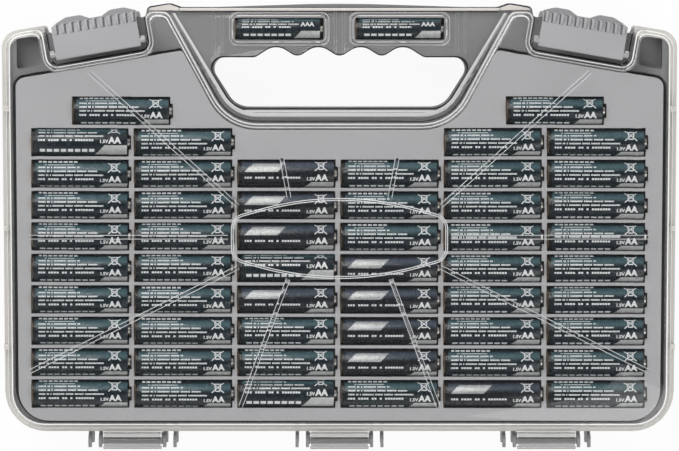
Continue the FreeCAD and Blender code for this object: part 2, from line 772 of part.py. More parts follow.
def make_front_tray():
    """Front tray with a well for each cell, and a neck in each rib for the cell's nub."""
    body = new_body("front_tray")
    outline = sketch_on(body, "front_tray_sketch", "XY_Plane", front_face)
    add_outline(outline, mirrored(tray_outline()))
    add_feature(body, "Pad", "front_tray_block", outline, tray_rise)

    well_half = (cell_body + nub_length) / 2
    well_length = cell_body + cell_clearance * 2.5
    first_column = -column_pitch * 2.5
    top = tray_top + 1.0

    def wells(name, column, row, steps):
        """Cut one well and its nub neck, and repeat them."""
        trough = sketch_on(body, name + "_well_sketch", "YZ_Plane", column - nub_length / 2)
        radius = cell_radius + cell_clearance
        floor = facet_ring(row, cell_z, radius, can_sides, can_sides // 2, can_sides - 1)
        (left, _, _), (right, _, _) = floor[0], floor[-1]
        add_outline(trough, floor + [(right, top, 0), (left, top, 0)])
        well = add_feature(body, "Pocket", name + "_well", trough, well_length, both=True)
        neck = sketch_on(body, name + "_neck_sketch", "XY_Plane", top)
        neck_start = column + well_half - nub_length - 0.5
        add_box(neck, neck_start, column + well_half + cell_clearance * 1.5,
                row - neck_half, row + neck_half)
        cut = add_feature(
            body, "Pocket", name + "_neck", neck, top - cell_z + nub_radius + cell_clearance)
        doc.recompute()
        repeat(body, name + "_wells", [well, cut], steps)

    wells("full", first_column, lowest_row,
          [("X_Axis", column_pitch * 5, 6), ("Y_Axis", row_pitch * 7, 8)])
    top_row = lowest_row + row_pitch * 8
    wells("outer", first_column, top_row,
          [("X_Axis", column_pitch, 2), ("X_Axis", column_pitch * 4, 2)])
    wells("extra", -extra_cell_x, top_row + row_pitch, [("X_Axis", extra_cell_x * 2, 2)])
    place(body)
    return body


def make_rear_tray():
    """Rear tray with three long troughs that open towards the rear lid."""
    body = new_body("rear_tray")
    outline = sketch_on(body, "rear_tray_sketch", "XY_Plane", rear_face)
    add_outline(outline, mirrored(tray_outline()))
    add_feature(body, "Pad", "rear_tray_plate", outline, tray_wall, reverse=True)
    block = sketch_on(body, "rear_tray_block_sketch", "XY_Plane", rear_face - tray_wall)
    side = half_width - frame_band - tray_wall
    add_box(block, -side, side, bay_foot + tray_wall, bay_top - tray_wall, bay_radius)
    add_feature(body, "Pad", "rear_tray_block", block, tray_wall + frame_depth - rear_tray_floor)
    doc.recompute()
    middle_row = (bay_foot + bay_top) / 2
    trough = sketch_on(body, "rear_trough_sketch", "YZ_Plane")
    axis_z = front_face - rear_tray_floor * 2 - trough_radius
    for number in range(trough_count):
        row = middle_row + (number - (trough_count - 1) / 2) * trough_pitch
        add_trough(trough, row, axis_z, trough_radius, rear_face - tray_wall - 1.0)
    add_feature(body, "Pocket", "rear_troughs", trough, trough_length, both=True)
    place(body)
    return body


def make_latch(name):
    """Snap latch: a face plate on two pins, a top plate over the frame's edge, and a finger lip."""
    body = new_body(name)
    face_z = latch_pin_z + latch_wall / 2
    back_z = face_z - latch_reach
    inner = latch_face - latch_wall
    profile = sketch_on(body, name + "_profile", "YZ_Plane")
    add_outline(profile, [
        (latch_pin_inset - latch_wall * 0.6, face_z - latch_wall, 0),
        (inner, face_z - latch_wall, 0),
        (inner, back_z, 0),
        (latch_face, back_z, 0),
        (latch_face, face_z, latch_corner_radius),
        (latch_pin_inset - latch_wall * 0.6, face_z, 0),
    ])
    add_feature(body, "Pad", name + "_plate", profile, latch_length, both=True)
    doc.recompute()

    grip = sketch_on(
        body, name + "_rib_sketch", "YZ_Plane", -latch_rib_pitch * (latch_rib_count - 1) / 2)
    add_outline(grip, [
        (latch_face - latch_rib_length, face_z - latch_wall / 2, 0),
        (latch_face - latch_wall / 2, face_z - latch_wall / 2, 0),
        (latch_face - latch_wall / 2, face_z - latch_rib_length * 2, 0),
        (latch_face + latch_rib_height, face_z - latch_rib_length * 2, 0),
        (latch_face + latch_rib_height, face_z - latch_rib_bevel, 0),
        (latch_face - latch_rib_bevel, face_z + latch_rib_height, 0),
        (latch_face - latch_rib_length, face_z + latch_rib_height, 0),
    ])
    rib = add_feature(body, "Pad", name + "_rib", grip, latch_rib_width, both=True)
    doc.recompute()
    repeat(body, name + "_ribs", [rib],
           [("X_Axis", latch_rib_pitch * (latch_rib_count - 1), latch_rib_count)])

    lip = sketch_on(body, name + "_lip_sketch", "XY_Plane", back_z)
    end = latch_length / 2 - 0.8
    root = latch_face - latch_wall / 2
    low = latch_face + latch_lip_rise * 0.35
    high = latch_face + latch_lip_rise
    add_outline(lip, [
        (-end, root, 0),
        (end, root, 0),
        (end, low, 0),
        (end * 0.72, high, 5.0),
        (end * 0.38, high, 5.0),
        (end * 0.16, low, 0),
        (-end * 0.16, low, 0),
        (-end * 0.38, high, 5.0),
        (-end * 0.72, high, 5.0),
        (-end, low, 0),
    ])
    add_feature(body, "Pad", name + "_lip", lip, latch_wall * 0.9)

    pin = sketch_on(body, name + "_pin_sketch", "YZ_Plane")
    add_circle(pin, latch_pin_inset, latch_pin_z, latch_pin_radius)
    add_feature(body, "Pad", name + "_pins", pin,
                latch_length + (ear_side_gap + ear_wall) * 2, both=True)
    tilt = FreeCAD.Rotation(FreeCAD.Vector(0, 0, 1), float(shoulder_angle))
    place(body, -latch_x, latch_foot, turn=tilt)
    bind(body, "Placement.Rotation.Angle", shoulder_angle)
    return body


def make_mirrored(name, source, normal, distance=0.0):
    """The same moulding made to the other hand, mirrored across a plane of the case."""
    twin = doc.addObject("Part::Mirroring", name)
    twin.Label = name
    twin.Source = source
    twin.Normal = FreeCAD.Vector(*normal)
    for axis, share in zip("xyz", normal):
        bind(twin, f"Base.{axis}", distance * share)
    return twin


def facet_ring(x, y, radius, sides, first=0, last=None):
    """Corners of a regular outline, or of the run of it between two of its corners."""
    corners = []
    for number in range(first, sides if last is None else last + 1):
        angle = (number + 0.5) * 360.0 / sides
        across = math.cos(math.radians(angle))
        up = math.sin(math.radians(angle))
        corners.append((x + radius * across, y + radius * up, 0))
    return corners


def make_cells(name, x, y, z, sizes, steps):
    """A row of cells: each is a can and its nub, and is repeated along the row."""
    can_radius, can_length, tip_radius, tip_length = sizes
    body = new_body(name)
    body.AllowCompound = True
    half = (can_length + tip_length) / 2
    can_sketch = sketch_on(body, name + "_can_sketch", "YZ_Plane", x - half)
    add_outline(can_sketch, facet_ring(y, z, can_radius, can_sides))
    can = add_feature(body, "Pad", name + "_can", can_sketch, can_length)
    tip_sketch = sketch_on(body, name + "_tip_sketch", "YZ_Plane", x - half)
    add_outline(tip_sketch, facet_ring(y, z, tip_radius, tip_sides))
    tip = add_feature(body, "Pad", name + "_tip", tip_sketch, can_length + tip_length)
    if steps:
        doc.recompute()
        repeat(body, name + "_row", [can, tip], steps)
    place(body)
    return body


def make_lid(name):
    """Clear cover: rim plate, hollow drafted dome, windows, ears and hinge barrels."""
    body = new_body(name)
    rim_sketch = sketch_on(body, name + "_rim_sketch", "XY_Plane", front_face)
    add_outline(rim_sketch, whole_case_outline(0.0))
    add_feature(body, "Pad", name + "_rim", rim_sketch, lid_wall)
    cut_grip(body, front_face, lid_wall)
    dome_sketch = sketch_on(body, name + "_dome_sketch", "XY_Plane", front_face)
    add_outline(dome_sketch, mirrored(dome_outline(0.0)))
    dome_depth = case_depth - front_face - emboss_rise
    add_feature(body, "Pad", name + "_dome", dome_sketch, dome_depth)
    hollow_sketch = sketch_on(body, name + "_hollow_sketch", "XY_Plane", front_face)
    add_outline(hollow_sketch, mirrored(dome_outline(lid_wall)))
    add_feature(
        body, "Pocket", name + "_hollow", hollow_sketch, dome_depth - lid_wall, reverse=True)
    doc.recompute()
    lid_emboss(body)
    lid_windows(body)
    lid_ears(body)
    lid_barrels(body)
    place(body)
    return body


def make_all():
    """Every piece of the case, in the order it would be put together."""
    cell = (cell_radius, cell_body, nub_radius, nub_length)
    small_cell = (small_cell_radius, small_cell_body, small_nub_radius, small_nub_length)
    bodies = [make_frame(), make_front_tray(), make_rear_tray()]
    across, through = (1, 0, 0), (0, 0, 1)
    lid = make_lid("front_lid")
    left = make_latch("front_left_latch")
    right = make_mirrored("front_right_latch", left, across)
    bodies += [lid, make_mirrored("rear_lid", lid, through, middle), left, right]
    bodies += [make_mirrored("rear_left_latch", left, through, middle)]
    bodies += [make_mirrored("rear_right_latch", right, through, middle)]
    first_column = -column_pitch * 2.5
    for number in range(1, 10):
        row = lowest_row + row_pitch * (9 - number)
        steps = [("X_Axis", column_pitch * 5, 6)]
        if number == 1:
            steps = [("X_Axis", column_pitch, 2), ("X_Axis", column_pitch * 4, 2)]
        bodies.append(make_cells(f"aa_row_{number}", first_column, row, cell_z, cell, steps))
    extra_row = lowest_row + row_pitch * 9
    for side_name, side in (("left", -1), ("right", 1)):
        bodies.append(make_cells(
            f"aa_top_{side_name}", extra_cell_x * side, extra_row, cell_z, cell, []))
        bodies.append(make_cells(
            f"aaa_{side_name}", small_cell_x * side, small_cell_y, small_cell_z, small_cell, []))
    return bodies


def write_steps(bodies):
    """Check every object and shape, then write one file for each piece."""
    for item in doc.Objects:
        if "Invalid" in item.State or "Error" in item.State:
            raise RuntimeError(f"{item.Name} failed: {item.State}")
    for body in bodies:
        if body.Shape.isNull() or not body.Shape.isValid():
            raise RuntimeError(f"{body.Label} has no valid shape")
    os.makedirs("parts", exist_ok=True)
    for body in bodies:
        body.Shape.exportStep(f"parts/{body.Label}.step")
        print(body.Label, len(body.Shape.Solids), round(body.Shape.Volume / 1000, 2))


all_bodies = make_all()
doc.recompute()
write_steps(all_bodies)
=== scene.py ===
import math
import random

import bmesh
import bpy
from mathutils import Matrix, Vector


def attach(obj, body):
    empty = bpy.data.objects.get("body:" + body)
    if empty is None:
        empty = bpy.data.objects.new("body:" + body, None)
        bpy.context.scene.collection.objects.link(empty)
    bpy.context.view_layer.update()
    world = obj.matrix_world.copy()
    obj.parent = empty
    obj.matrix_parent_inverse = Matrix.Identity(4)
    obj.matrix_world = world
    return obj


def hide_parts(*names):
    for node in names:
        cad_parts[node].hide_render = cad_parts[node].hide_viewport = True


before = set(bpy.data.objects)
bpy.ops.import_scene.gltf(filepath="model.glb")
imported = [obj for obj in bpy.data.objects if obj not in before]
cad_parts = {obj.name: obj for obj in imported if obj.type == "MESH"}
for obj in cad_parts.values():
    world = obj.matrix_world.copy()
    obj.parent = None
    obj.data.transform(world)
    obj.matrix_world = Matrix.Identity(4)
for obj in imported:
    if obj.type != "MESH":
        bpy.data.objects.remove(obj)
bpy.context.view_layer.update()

# Table top, soft studio light and the camera that looks straight down on the front of the case.
# The table is a sheet of white card; the lamps are two large soft boxes and a weak sky.
scene = bpy.context.scene
scene.view_settings.view_transform = "Standard"

card_mesh = bpy.data.meshes.new("table_card")
card_mesh.from_pydata(
    [(-4, -4, -0.0005), (4, -4, -0.0005), (4, 4, -0.0005), (-4, 4, -0.0005)], [], [(0, 1, 2, 3)])
card = bpy.data.objects.new("table_card", card_mesh)
scene.collection.objects.link(card)


def new_paint(name):
    """A material, its node tree and its main shader."""
    paint = bpy.data.materials.new(name)
    paint.use_nodes = True
    return paint, paint.node_tree, paint.node_tree.nodes["Principled BSDF"]


def calculate(tree, operation, first, second=None, third=None):
    """A maths node fed by sockets or plain numbers."""
    node = tree.nodes.new("ShaderNodeMath")
    node.operation = operation
    for slot_number, value in enumerate((first, second, third)):
        if isinstance(value, (int, float)):
            node.inputs[slot_number].default_value = value
        elif value is not None:
            tree.links.new(value, node.inputs[slot_number])
    return node.outputs[0]


card_paint, card_tree, card_shader = new_paint("white_card")
card_shader.inputs["Base Color"].default_value = (0.92, 0.92, 0.915, 1)
card_shader.inputs["Roughness"].default_value = 0.7
card_glow = card_tree.nodes.new("ShaderNodeEmission")
card_ray = card_tree.nodes.new("ShaderNodeLightPath")
card_seen = calculate(
    card_tree, "MAXIMUM", card_ray.outputs["Is Camera Ray"], card_ray.outputs["Is Transmission Ray"])
card_mix = card_tree.nodes.new("ShaderNodeMixShader")
card_tree.links.new(calculate(card_tree, "MULTIPLY", card_seen, 0.93), card_mix.inputs["Fac"])
card_tree.links.new(card_shader.outputs["BSDF"], card_mix.inputs[1])
card_tree.links.new(card_glow.outputs["Emission"], card_mix.inputs[2])
card_tree.links.new(card_mix.outputs["Shader"], card_tree.nodes["Material Output"].inputs["Surface"])
card_mesh.materials.append(card_paint)

sky = bpy.data.worlds.new("studio_sky")
sky.use_nodes = True
sky_tree = sky.node_tree
sky_nodes, sky_links = sky_tree.nodes, sky_tree.links
sky_light = sky_nodes["Background"]
sky_light.inputs["Color"].default_value = (1, 1, 1, 1)
sky_place = sky_nodes.new("ShaderNodeTexCoord")
sky_axes = sky_nodes.new("ShaderNodeSeparateXYZ")
ceiling = sky_nodes.new("ShaderNodeMapRange")
for limit, value in (("From Min", 0.25), ("From Max", 0.9), ("To Min", 1.0), ("To Max", 0.07)):
    ceiling.inputs[limit].default_value = value
ray = sky_nodes.new("ShaderNodeLightPath")
bounced = calculate(sky_tree, "MAXIMUM", ray.outputs["Is Glossy Ray"], ray.outputs["Is Transmission Ray"])
level = sky_nodes.new("ShaderNodeMix")
level.inputs["A"].default_value = 0.62
sky_links.new(sky_place.outputs["Generated"], sky_axes.inputs["Vector"])
sky_links.new(sky_axes.outputs["Z"], ceiling.inputs["Value"])
sky_links.new(bounced, level.inputs["Factor"])
sky_links.new(ceiling.outputs["Result"], level.inputs["B"])
sky_links.new(calculate(sky_tree, "MAXIMUM", level.outputs["Result"], ray.outputs["Is Camera Ray"]),
              sky_light.inputs["Strength"])
scene.world = sky

for lamp_name, place, size, power in (
    ("soft_box_handle_side", (-0.55, 0.75, 0.95), 0.9, 9.0),
    ("soft_box_hinge_side", (0.65, -0.55, 1.0), 0.9, 5.0),
):
    lamp_data = bpy.data.lights.new(lamp_name, "AREA")
    lamp_data.shape = "SQUARE"
    lamp_data.size = size
    lamp_data.energy = power
    lamp = bpy.data.objects.new(lamp_name, lamp_data)
    lamp.location = place
    lamp.rotation_euler = (Vector((0, 0, 0.03)) - Vector(place)).to_track_quat("-Z", "Y").to_euler()
    scene.collection.objects.link(lamp)

camera_data = bpy.data.cameras.new("camera")
camera_data.sensor_width = 36.0
camera_data.lens = 244.9
camera = bpy.data.objects.new("camera", camera_data)
camera.location = (0.0, 0.1155, 2.4)
camera.rotation_euler = (math.radians(-2.8), 0.0, 0.0)
scene.collection.objects.link(camera)
scene.camera = camera


# Centre frame: one grey polypropylene moulding with the carrying handle, hinge lugs and rods.
# Its skin has a fine spark-eroded grain, slightly lighter where the mould was polished.
def new_group(name, inputs, outputs):
    """A shader group with named float or colour inputs and outputs."""
    group = bpy.data.node_groups.new(name, "ShaderNodeTree")
    for label, kind, value in inputs:
        socket = group.interface.new_socket(label, in_out="INPUT", socket_type="NodeSocket" + kind)
        socket.default_value = value
    for label, kind in outputs:
        group.interface.new_socket(label, in_out="OUTPUT", socket_type="NodeSocket" + kind)
    return group, group.nodes.new("NodeGroupInput"), group.nodes.new("NodeGroupOutput")


def speckle(tree, scale, detail=2.0):
    """Noise over a piece's own coordinates."""
    place = tree.nodes.new("ShaderNodeTexCoord")
    noise = tree.nodes.new("ShaderNodeTexNoise")
    noise.inputs["Scale"].default_value = scale
    noise.inputs["Detail"].default_value = detail
    tree.links.new(place.outputs["Object"], noise.inputs["Vector"])
    return noise.outputs["Fac"]


grain, grain_in, grain_out = new_group(
    "moulded_grain",
    [("Shade", "Color", (0.4, 0.4, 0.4, 1)), ("Mottle", "Float", 0.06), ("Polish", "Float", 0.45)],
    [("Color", "Color"), ("Roughness", "Float"), ("Height", "Float")],
)
fine = speckle(grain, 2600.0)
broad = speckle(grain, 38.0, 4.0)
shade_shift = calculate(grain, "MULTIPLY_ADD", broad, grain_in.outputs["Mottle"], 1.0)
half_mottle = calculate(grain, "MULTIPLY", grain_in.outputs["Mottle"], 0.5)
shade_level = calculate(grain, "SUBTRACT", shade_shift, half_mottle)
shaded = grain.nodes.new("ShaderNodeMix")
shaded.data_type = "RGBA"
shaded.blend_type = "MULTIPLY"
shaded.inputs["Factor"].default_value = 1.0
level_colour = grain.nodes.new("ShaderNodeCombineColor")
for channel in ("Red", "Green", "Blue"):
    grain.links.new(shade_level, level_colour.inputs[channel])
grain.links.new(grain_in.outputs["Shade"], shaded.inputs["A"])
grain.links.new(level_colour.outputs["Color"], shaded.inputs["B"])
grain.links.new(shaded.outputs["Result"], grain_out.inputs["Color"])
rough_part = calculate(grain, "MULTIPLY_ADD", fine, 0.16, -0.08)
rough_level = calculate(grain, "ADD", rough_part, grain_in.outputs["Polish"])
grain.links.new(rough_level, grain_out.inputs["Roughness"])
grain.links.new(fine, grain_out.inputs["Height"])


def moulded_plastic(name, shade, mottle, polish, depth):
    """Opaque moulded plastic with the shared grain."""
    paint, tree, shader = new_paint(name)
    shader.inputs["IOR"].default_value = 1.49
    skin = tree.nodes.new("ShaderNodeGroup")
    skin.node_tree = grain
    skin.inputs["Shade"].default_value = (*shade, 1)
    skin.inputs["Mottle"].default_value = mottle
    skin.inputs["Polish"].default_value = polish
    bump = tree.nodes.new("ShaderNodeBump")
    bump.inputs["Strength"].default_value = 0.35
    bump.inputs["Distance"].default_value = depth
    tree.links.new(skin.outputs["Color"], shader.inputs["Base Color"])
    tree.links.new(skin.outputs["Roughness"], shader.inputs["Roughness"])
    tree.links.new(skin.outputs["Height"], bump.inputs["Height"])
    tree.links.new(bump.outputs["Normal"], shader.inputs["Normal"])
    return paint


frame_grey = moulded_plastic("frame_grey", (0.245, 0.245, 0.25), 0.10, 0.5, 0.00006)


def dress_node(name, paint, edge):
    """A CAD piece that keeps its shape: merged facets, softened edges and its own plastic."""
    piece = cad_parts[name]
    for slot in piece.material_slots:
        slot.material = paint
    if not piece.material_slots:
        piece.data.materials.append(paint)
    weld = piece.modifiers.new("weld", "WELD")
    weld.merge_threshold = 0.000002
    flats = piece.modifiers.new("flats", "DECIMATE")
    flats.decimate_type = "DISSOLVE"
    flats.angle_limit = math.radians(1.0)
    soft = piece.modifiers.new("soft_edges", "BEVEL")
    soft.width = edge
    soft.segments = 2
    soft.limit_method = "ANGLE"
    soft.angle_limit = math.radians(38)
    soft.use_clamp_overlap = True
    soft.harden_normals = True
    return piece


dress_node("frame", frame_grey, 0.00035)

# Front tray: vacuum-smooth grey moulding with a trough for every cell and a neck for each nub.
# It is lighter than the frame and a little glossier, and stands on the frame's front face.
tray_grey = moulded_plastic("tray_grey", (0.42, 0.42, 0.43), 0.08, 0.42, 0.00004)
dress_node("front_tray", tray_grey, 0.0003)

# Rear tray: the same plastic, with three long troughs that open to the back of the case.
# Cells lie loose in it end to end, so it has no ribs.
rear_grey = moulded_plastic("rear_tray_grey", (0.35, 0.35, 0.36), 0.08, 0.45, 0.00004)
dress_node("rear_tray", rear_grey, 0.0004)

# AA cells: a steel can in a printed shrink sleeve, crimped at the flat end, nub at the other.
# The sleeve is dark teal with fine rows of print and a silver corner, plain art, and a paler teal strip
# painted on as a highlight where the round side faces the light.
hinge_edge = -0.10485
aa_length, aa_girth, aa_radius = 47.6, 44.6, 7.08
aa_z, column_pitch, row_pitch, first_column, lowest_row = 52.5, 52.4, 16.0, -131.0, 20.0

print_rows, rows_in, rows_out = new_group(
    "fine_print",
    [("Along", "Float", 0.0), ("Around", "Float", 0.0), ("Pitch", "Float", 1.5), ("Letter", "Float", 0.5),
     ("Cover", "Float", 0.7)],
    [("Ink", "Float")],
)
line_number = calculate(print_rows, "FLOOR", calculate(
    print_rows, "DIVIDE", rows_in.outputs["Around"], rows_in.outputs["Pitch"]))
line_height = calculate(print_rows, "FRACT", calculate(
    print_rows, "DIVIDE", rows_in.outputs["Around"], rows_in.outputs["Pitch"]))
letter_place = calculate(print_rows, "DIVIDE", rows_in.outputs["Along"], rows_in.outputs["Letter"])
letter_code = print_rows.nodes.new("ShaderNodeTexWhiteNoise")
letter_code.noise_dimensions = "2D"
letter_spot = print_rows.nodes.new("ShaderNodeCombineXYZ")
print_rows.links.new(calculate(print_rows, "FLOOR", letter_place), letter_spot.inputs["X"])
print_rows.links.new(line_number, letter_spot.inputs["Y"])
print_rows.links.new(letter_spot.outputs["Vector"], letter_code.inputs["Vector"])
letter_on = calculate(print_rows, "LESS_THAN", letter_code.outputs["Value"], rows_in.outputs["Cover"])
in_line = calculate(print_rows, "COMPARE", line_height, 0.5, 0.24)
in_letter = calculate(print_rows, "COMPARE", calculate(print_rows, "FRACT", letter_place), 0.5, 0.38)
print_rows.links.new(
    calculate(print_rows, "MULTIPLY", calculate(print_rows, "MULTIPLY", letter_on, in_line), in_letter),
    rows_out.inputs["Ink"])


def between(tree, value, low, high):
    """1 where value lies from low to high."""
    return calculate(tree, "COMPARE", value, (low + high) / 2, (high - low) / 2)


def lay_colour(tree, under, over, mask):
    """One colour laid over another where the mask says."""
    mixed = tree.nodes.new("ShaderNodeMix")
    mixed.data_type = "RGBA"
    for socket, value in ((mixed.inputs["A"], under), (mixed.inputs["B"], over)):
        if isinstance(value, tuple):
            socket.default_value = (*value, 1)
        else:
            tree.links.new(value, socket)
    tree.links.new(mask, mixed.inputs["Factor"])
    return mixed.outputs["Result"]


def sleeve(name, length, girth, dark, painted_highlight_teal):
    """Printed sleeve: UV runs along the cell and round it, both turned into millimetres here."""
    paint, tree, shader = new_paint(name)
    uv = tree.nodes.new("ShaderNodeUVMap")
    split = tree.nodes.new("ShaderNodeSeparateXYZ")
    tree.links.new(uv.outputs["UV"], split.inputs["Vector"])
    along = calculate(tree, "MULTIPLY", split.outputs["X"], length)
    around = calculate(tree, "MULTIPLY", calculate(tree, "SUBTRACT", 0.5, split.outputs["Y"]), girth)
    kind = tree.nodes.new("ShaderNodeAttribute")
    kind.attribute_name = "kind"
    spin = tree.nodes.new("ShaderNodeAttribute")
    spin.attribute_name = "spin"
    turned = calculate(tree, "SUBTRACT", around, spin.outputs["Fac"])
    fit = girth / aa_girth
    # Painted highlight: a lighter strip beside the cell's crest, where the round side catches the light; the
    # dark sleeves get a dim blue one.
    glow = tree.nodes.new("ShaderNodeMapRange")
    glow.interpolation_type = "SMOOTHSTEP"
    glow.inputs["From Min"].default_value = girth * 0.015
    glow.inputs["From Max"].default_value = girth * 0.085
    tree.links.new(turned, glow.inputs["Value"])
    fade = tree.nodes.new("ShaderNodeMapRange")
    fade.interpolation_type = "SMOOTHSTEP"
    fade.inputs["From Min"].default_value = girth * 0.16
    fade.inputs["From Max"].default_value = girth * 0.12
    tree.links.new(turned, fade.inputs["Value"])
    band = calculate(tree, "MULTIPLY", glow.outputs["Result"], fade.outputs["Result"])
    base = lay_colour(tree, dark, (0.012, 0.013, 0.017), kind.outputs["Fac"])
    glow_colour = lay_colour(tree, painted_highlight_teal, (0.045, 0.06, 0.085), kind.outputs["Fac"])
    colour = lay_colour(tree, base, glow_colour, band)
    near_end = calculate(tree, "LESS_THAN", along, length * 0.035)
    far_end = calculate(tree, "GREATER_THAN", along, length * 0.965)
    colour = lay_colour(tree, colour, (0.006, 0.006, 0.007), calculate(tree, "MAXIMUM", near_end, far_end))
    plain = calculate(tree, "LESS_THAN", kind.outputs["Fac"], 0.5)
    dark_kind = calculate(tree, "SUBTRACT", 1.0, plain)
    # Rows of print: height round the cell, run along it, pitch, letter width, inked share, kind of sleeve.
    for (row_low, row_high), (start, stop), pitch, letter, cover, which in (
        ((6.1, 9.1), (3.2, 22.0), 3.0, 2.5, 1.0, plain),
        ((4.9, 5.9), (6.0, 20.5), 1.0, 0.55, 0.95, plain),
        ((3.1, 4.6), (3.0, 23.0), 1.6, 0.66, 0.92, plain),
        ((1.0, 2.6), (3.0, 31.5), 1.6, 0.66, 0.92, plain),
        ((-1.0, 0.6), (3.0, 34.5), 1.6, 0.62, 0.92, plain),
        ((-3.4, -1.3), (3.0, 30.0), 2.1, 1.3, 0.88, None),
        ((-9.9, -6.0), (3.4, 30.5), 3.9, 3.4, 1.0, plain),
    ):
        ink = tree.nodes.new("ShaderNodeGroup")
        ink.node_tree = print_rows
        ink.inputs["Pitch"].default_value = pitch * fit
        ink.inputs["Letter"].default_value = letter
        ink.inputs["Cover"].default_value = cover
        tree.links.new(along, ink.inputs["Along"])
        tree.links.new(calculate(tree, "SUBTRACT", turned, row_low * fit), ink.inputs["Around"])
        area = calculate(tree, "MULTIPLY", between(tree, turned, row_low * fit, row_high * fit),
                         between(tree, along, start, stop * length / aa_length))
        mask = calculate(tree, "MULTIPLY", ink.outputs["Ink"], area)
        if which is not None:
            mask = calculate(tree, "MULTIPLY", mask, which)
        colour = lay_colour(tree, colour, (0.82, 0.85, 0.85), calculate(tree, "MULTIPLY", mask, 0.9))
    corner_start = calculate(tree, "MULTIPLY_ADD", turned, 0.8, 39.0 * length / aa_length)
    corner = calculate(tree, "MULTIPLY", between(tree, turned, -11.0 * fit, -4.9 * fit),
                       calculate(tree, "GREATER_THAN", along, corner_start))
    hatch_start = calculate(tree, "MULTIPLY_ADD", turned, 0.9, 2.2)
    hatch_end = calculate(tree, "ADD", hatch_start, 16.0)
    hatch_lines = calculate(tree, "GREATER_THAN", calculate(tree, "FRACT", calculate(
        tree, "MULTIPLY", calculate(tree, "ADD", along, turned), 1.1)), 0.22)
    hatch = calculate(tree, "MULTIPLY", between(tree, turned, 0.6 * fit, 5.4 * fit), calculate(
        tree, "MULTIPLY", calculate(tree, "GREATER_THAN", along, hatch_start),
        calculate(tree, "LESS_THAN", along, hatch_end)))
    hatch = calculate(tree, "MULTIPLY", calculate(tree, "MULTIPLY", hatch, hatch_lines), dark_kind)
    corner = calculate(tree, "MULTIPLY", calculate(tree, "MAXIMUM", corner, hatch), calculate(
        tree, "SUBTRACT", 1.0, far_end))
    colour = lay_colour(tree, colour, (0.50, 0.51, 0.50), corner)
    tree.links.new(colour, shader.inputs["Base Color"])
    film = speckle(tree, 260.0)
    rough = calculate(tree, "MULTIPLY_ADD", film, 0.14, 0.2)
    tree.links.new(rough, shader.inputs["Roughness"])
    tree.links.new(calculate(tree, "MULTIPLY", corner, 0.25), shader.inputs["Metallic"])
    ripple = tree.nodes.new("ShaderNodeBump")
    ripple.inputs["Strength"].default_value = 0.12
    ripple.inputs["Distance"].default_value = 0.0001
    tree.links.new(film, ripple.inputs["Height"])
    tree.links.new(ripple.outputs["Normal"], shader.inputs["Normal"])
    return paint


def bare_metal(name, shade, smooth):
    """Plated steel with fine turning marks."""
    paint, tree, shader = new_paint(name)
    shader.inputs["Metallic"].default_value = 1.0
    marks = speckle(tree, 900.0)
    rough = calculate(tree, "MULTIPLY_ADD", marks, 0.2, smooth)
    tree.links.new(rough, shader.inputs["Roughness"])
    tint = lay_colour(tree, shade, tuple(c * 0.8 for c in shade), marks)
    tree.links.new(tint, shader.inputs["Base Color"])
    return paint


aa_sleeve = sleeve("aa_sleeve", aa_length, aa_girth, (0.008, 0.016, 0.021), (0.045, 0.095, 0.11))
steel = bare_metal("plated_steel", (0.72, 0.70, 0.66), 0.22)
bronze = bare_metal("bronze_end", (0.50, 0.36, 0.20), 0.3)
white_ink, ink_tree, ink_shader = new_paint("white_ink")
ink_fleck = ink_tree.nodes.new("ShaderNodeTexNoise")
ink_fleck.inputs["Scale"].default_value = 1500.0
ink_tree.links.new(lay_colour(ink_tree, (0.62, 0.64, 0.65), (0.8, 0.8, 0.8), ink_fleck.outputs["Fac"]),
                   ink_shader.inputs["Base Color"])

sleeve_part, steel_part, bronze_part, ink_part = range(4)


def can_profile(flat_end, side, nub_end):
    """A cell's profile from distances along it and radii: bronze end, sleeved side, steel nub end."""
    return ([(*point, bronze_part) for point in flat_end] + [(*point, sleeve_part) for point in side]
            + [(*point, steel_part) for point in nub_end])


aa_profile = can_profile(
    [(-24.9, 0.05), (-24.9, 3.9), (-25.15, 4.3), (-25.15, 6.2), (-24.9, 6.75)],
    [(-24.45, 6.9), (-24.2, 7.08), (23.0, 7.08), (23.45, 7.0), (23.75, 6.7)],
    [(23.75, 5.2), (23.55, 5.0), (23.55, 3.1), (23.75, 2.75), (24.9, 2.72), (25.15, 2.4), (25.15, 0.05)])


def into_strips(work):
    """Cut a flat shape into low strips, so that it can bend round a cell, and read it out."""
    for level_y in range(-12, 24):
        bmesh.ops.bisect_plane(
            work, geom=work.verts[:] + work.edges[:] + work.faces[:], dist=0.0001,
            plane_co=(0, level_y * 0.4, 0), plane_no=(0, 1, 0))
    work.verts.index_update()
    shape = [tuple(v.co) for v in work.verts], [tuple(v.index for v in f.verts) for f in work.faces]
    work.free()
    return shape


def flat_words(words, height, weight):
    """Triangles of a short generic marking, laid flat in millimetres."""
    curve = bpy.data.curves.new("marking", "FONT")
    curve.body = words
    curve.size = height
    curve.offset = height * weight
    curve.resolution_u = 2
    holder = bpy.data.objects.new("marking", curve)
    scene.collection.objects.link(holder)
    bpy.context.view_layer.update()
    mesh = bpy.data.meshes.new_from_object(holder)
    work = bmesh.new()
    work.from_mesh(mesh)
    points, faces = into_strips(work)
    bpy.data.objects.remove(holder)
    bpy.data.curves.remove(curve)
    bpy.data.meshes.remove(mesh)
    return points, faces


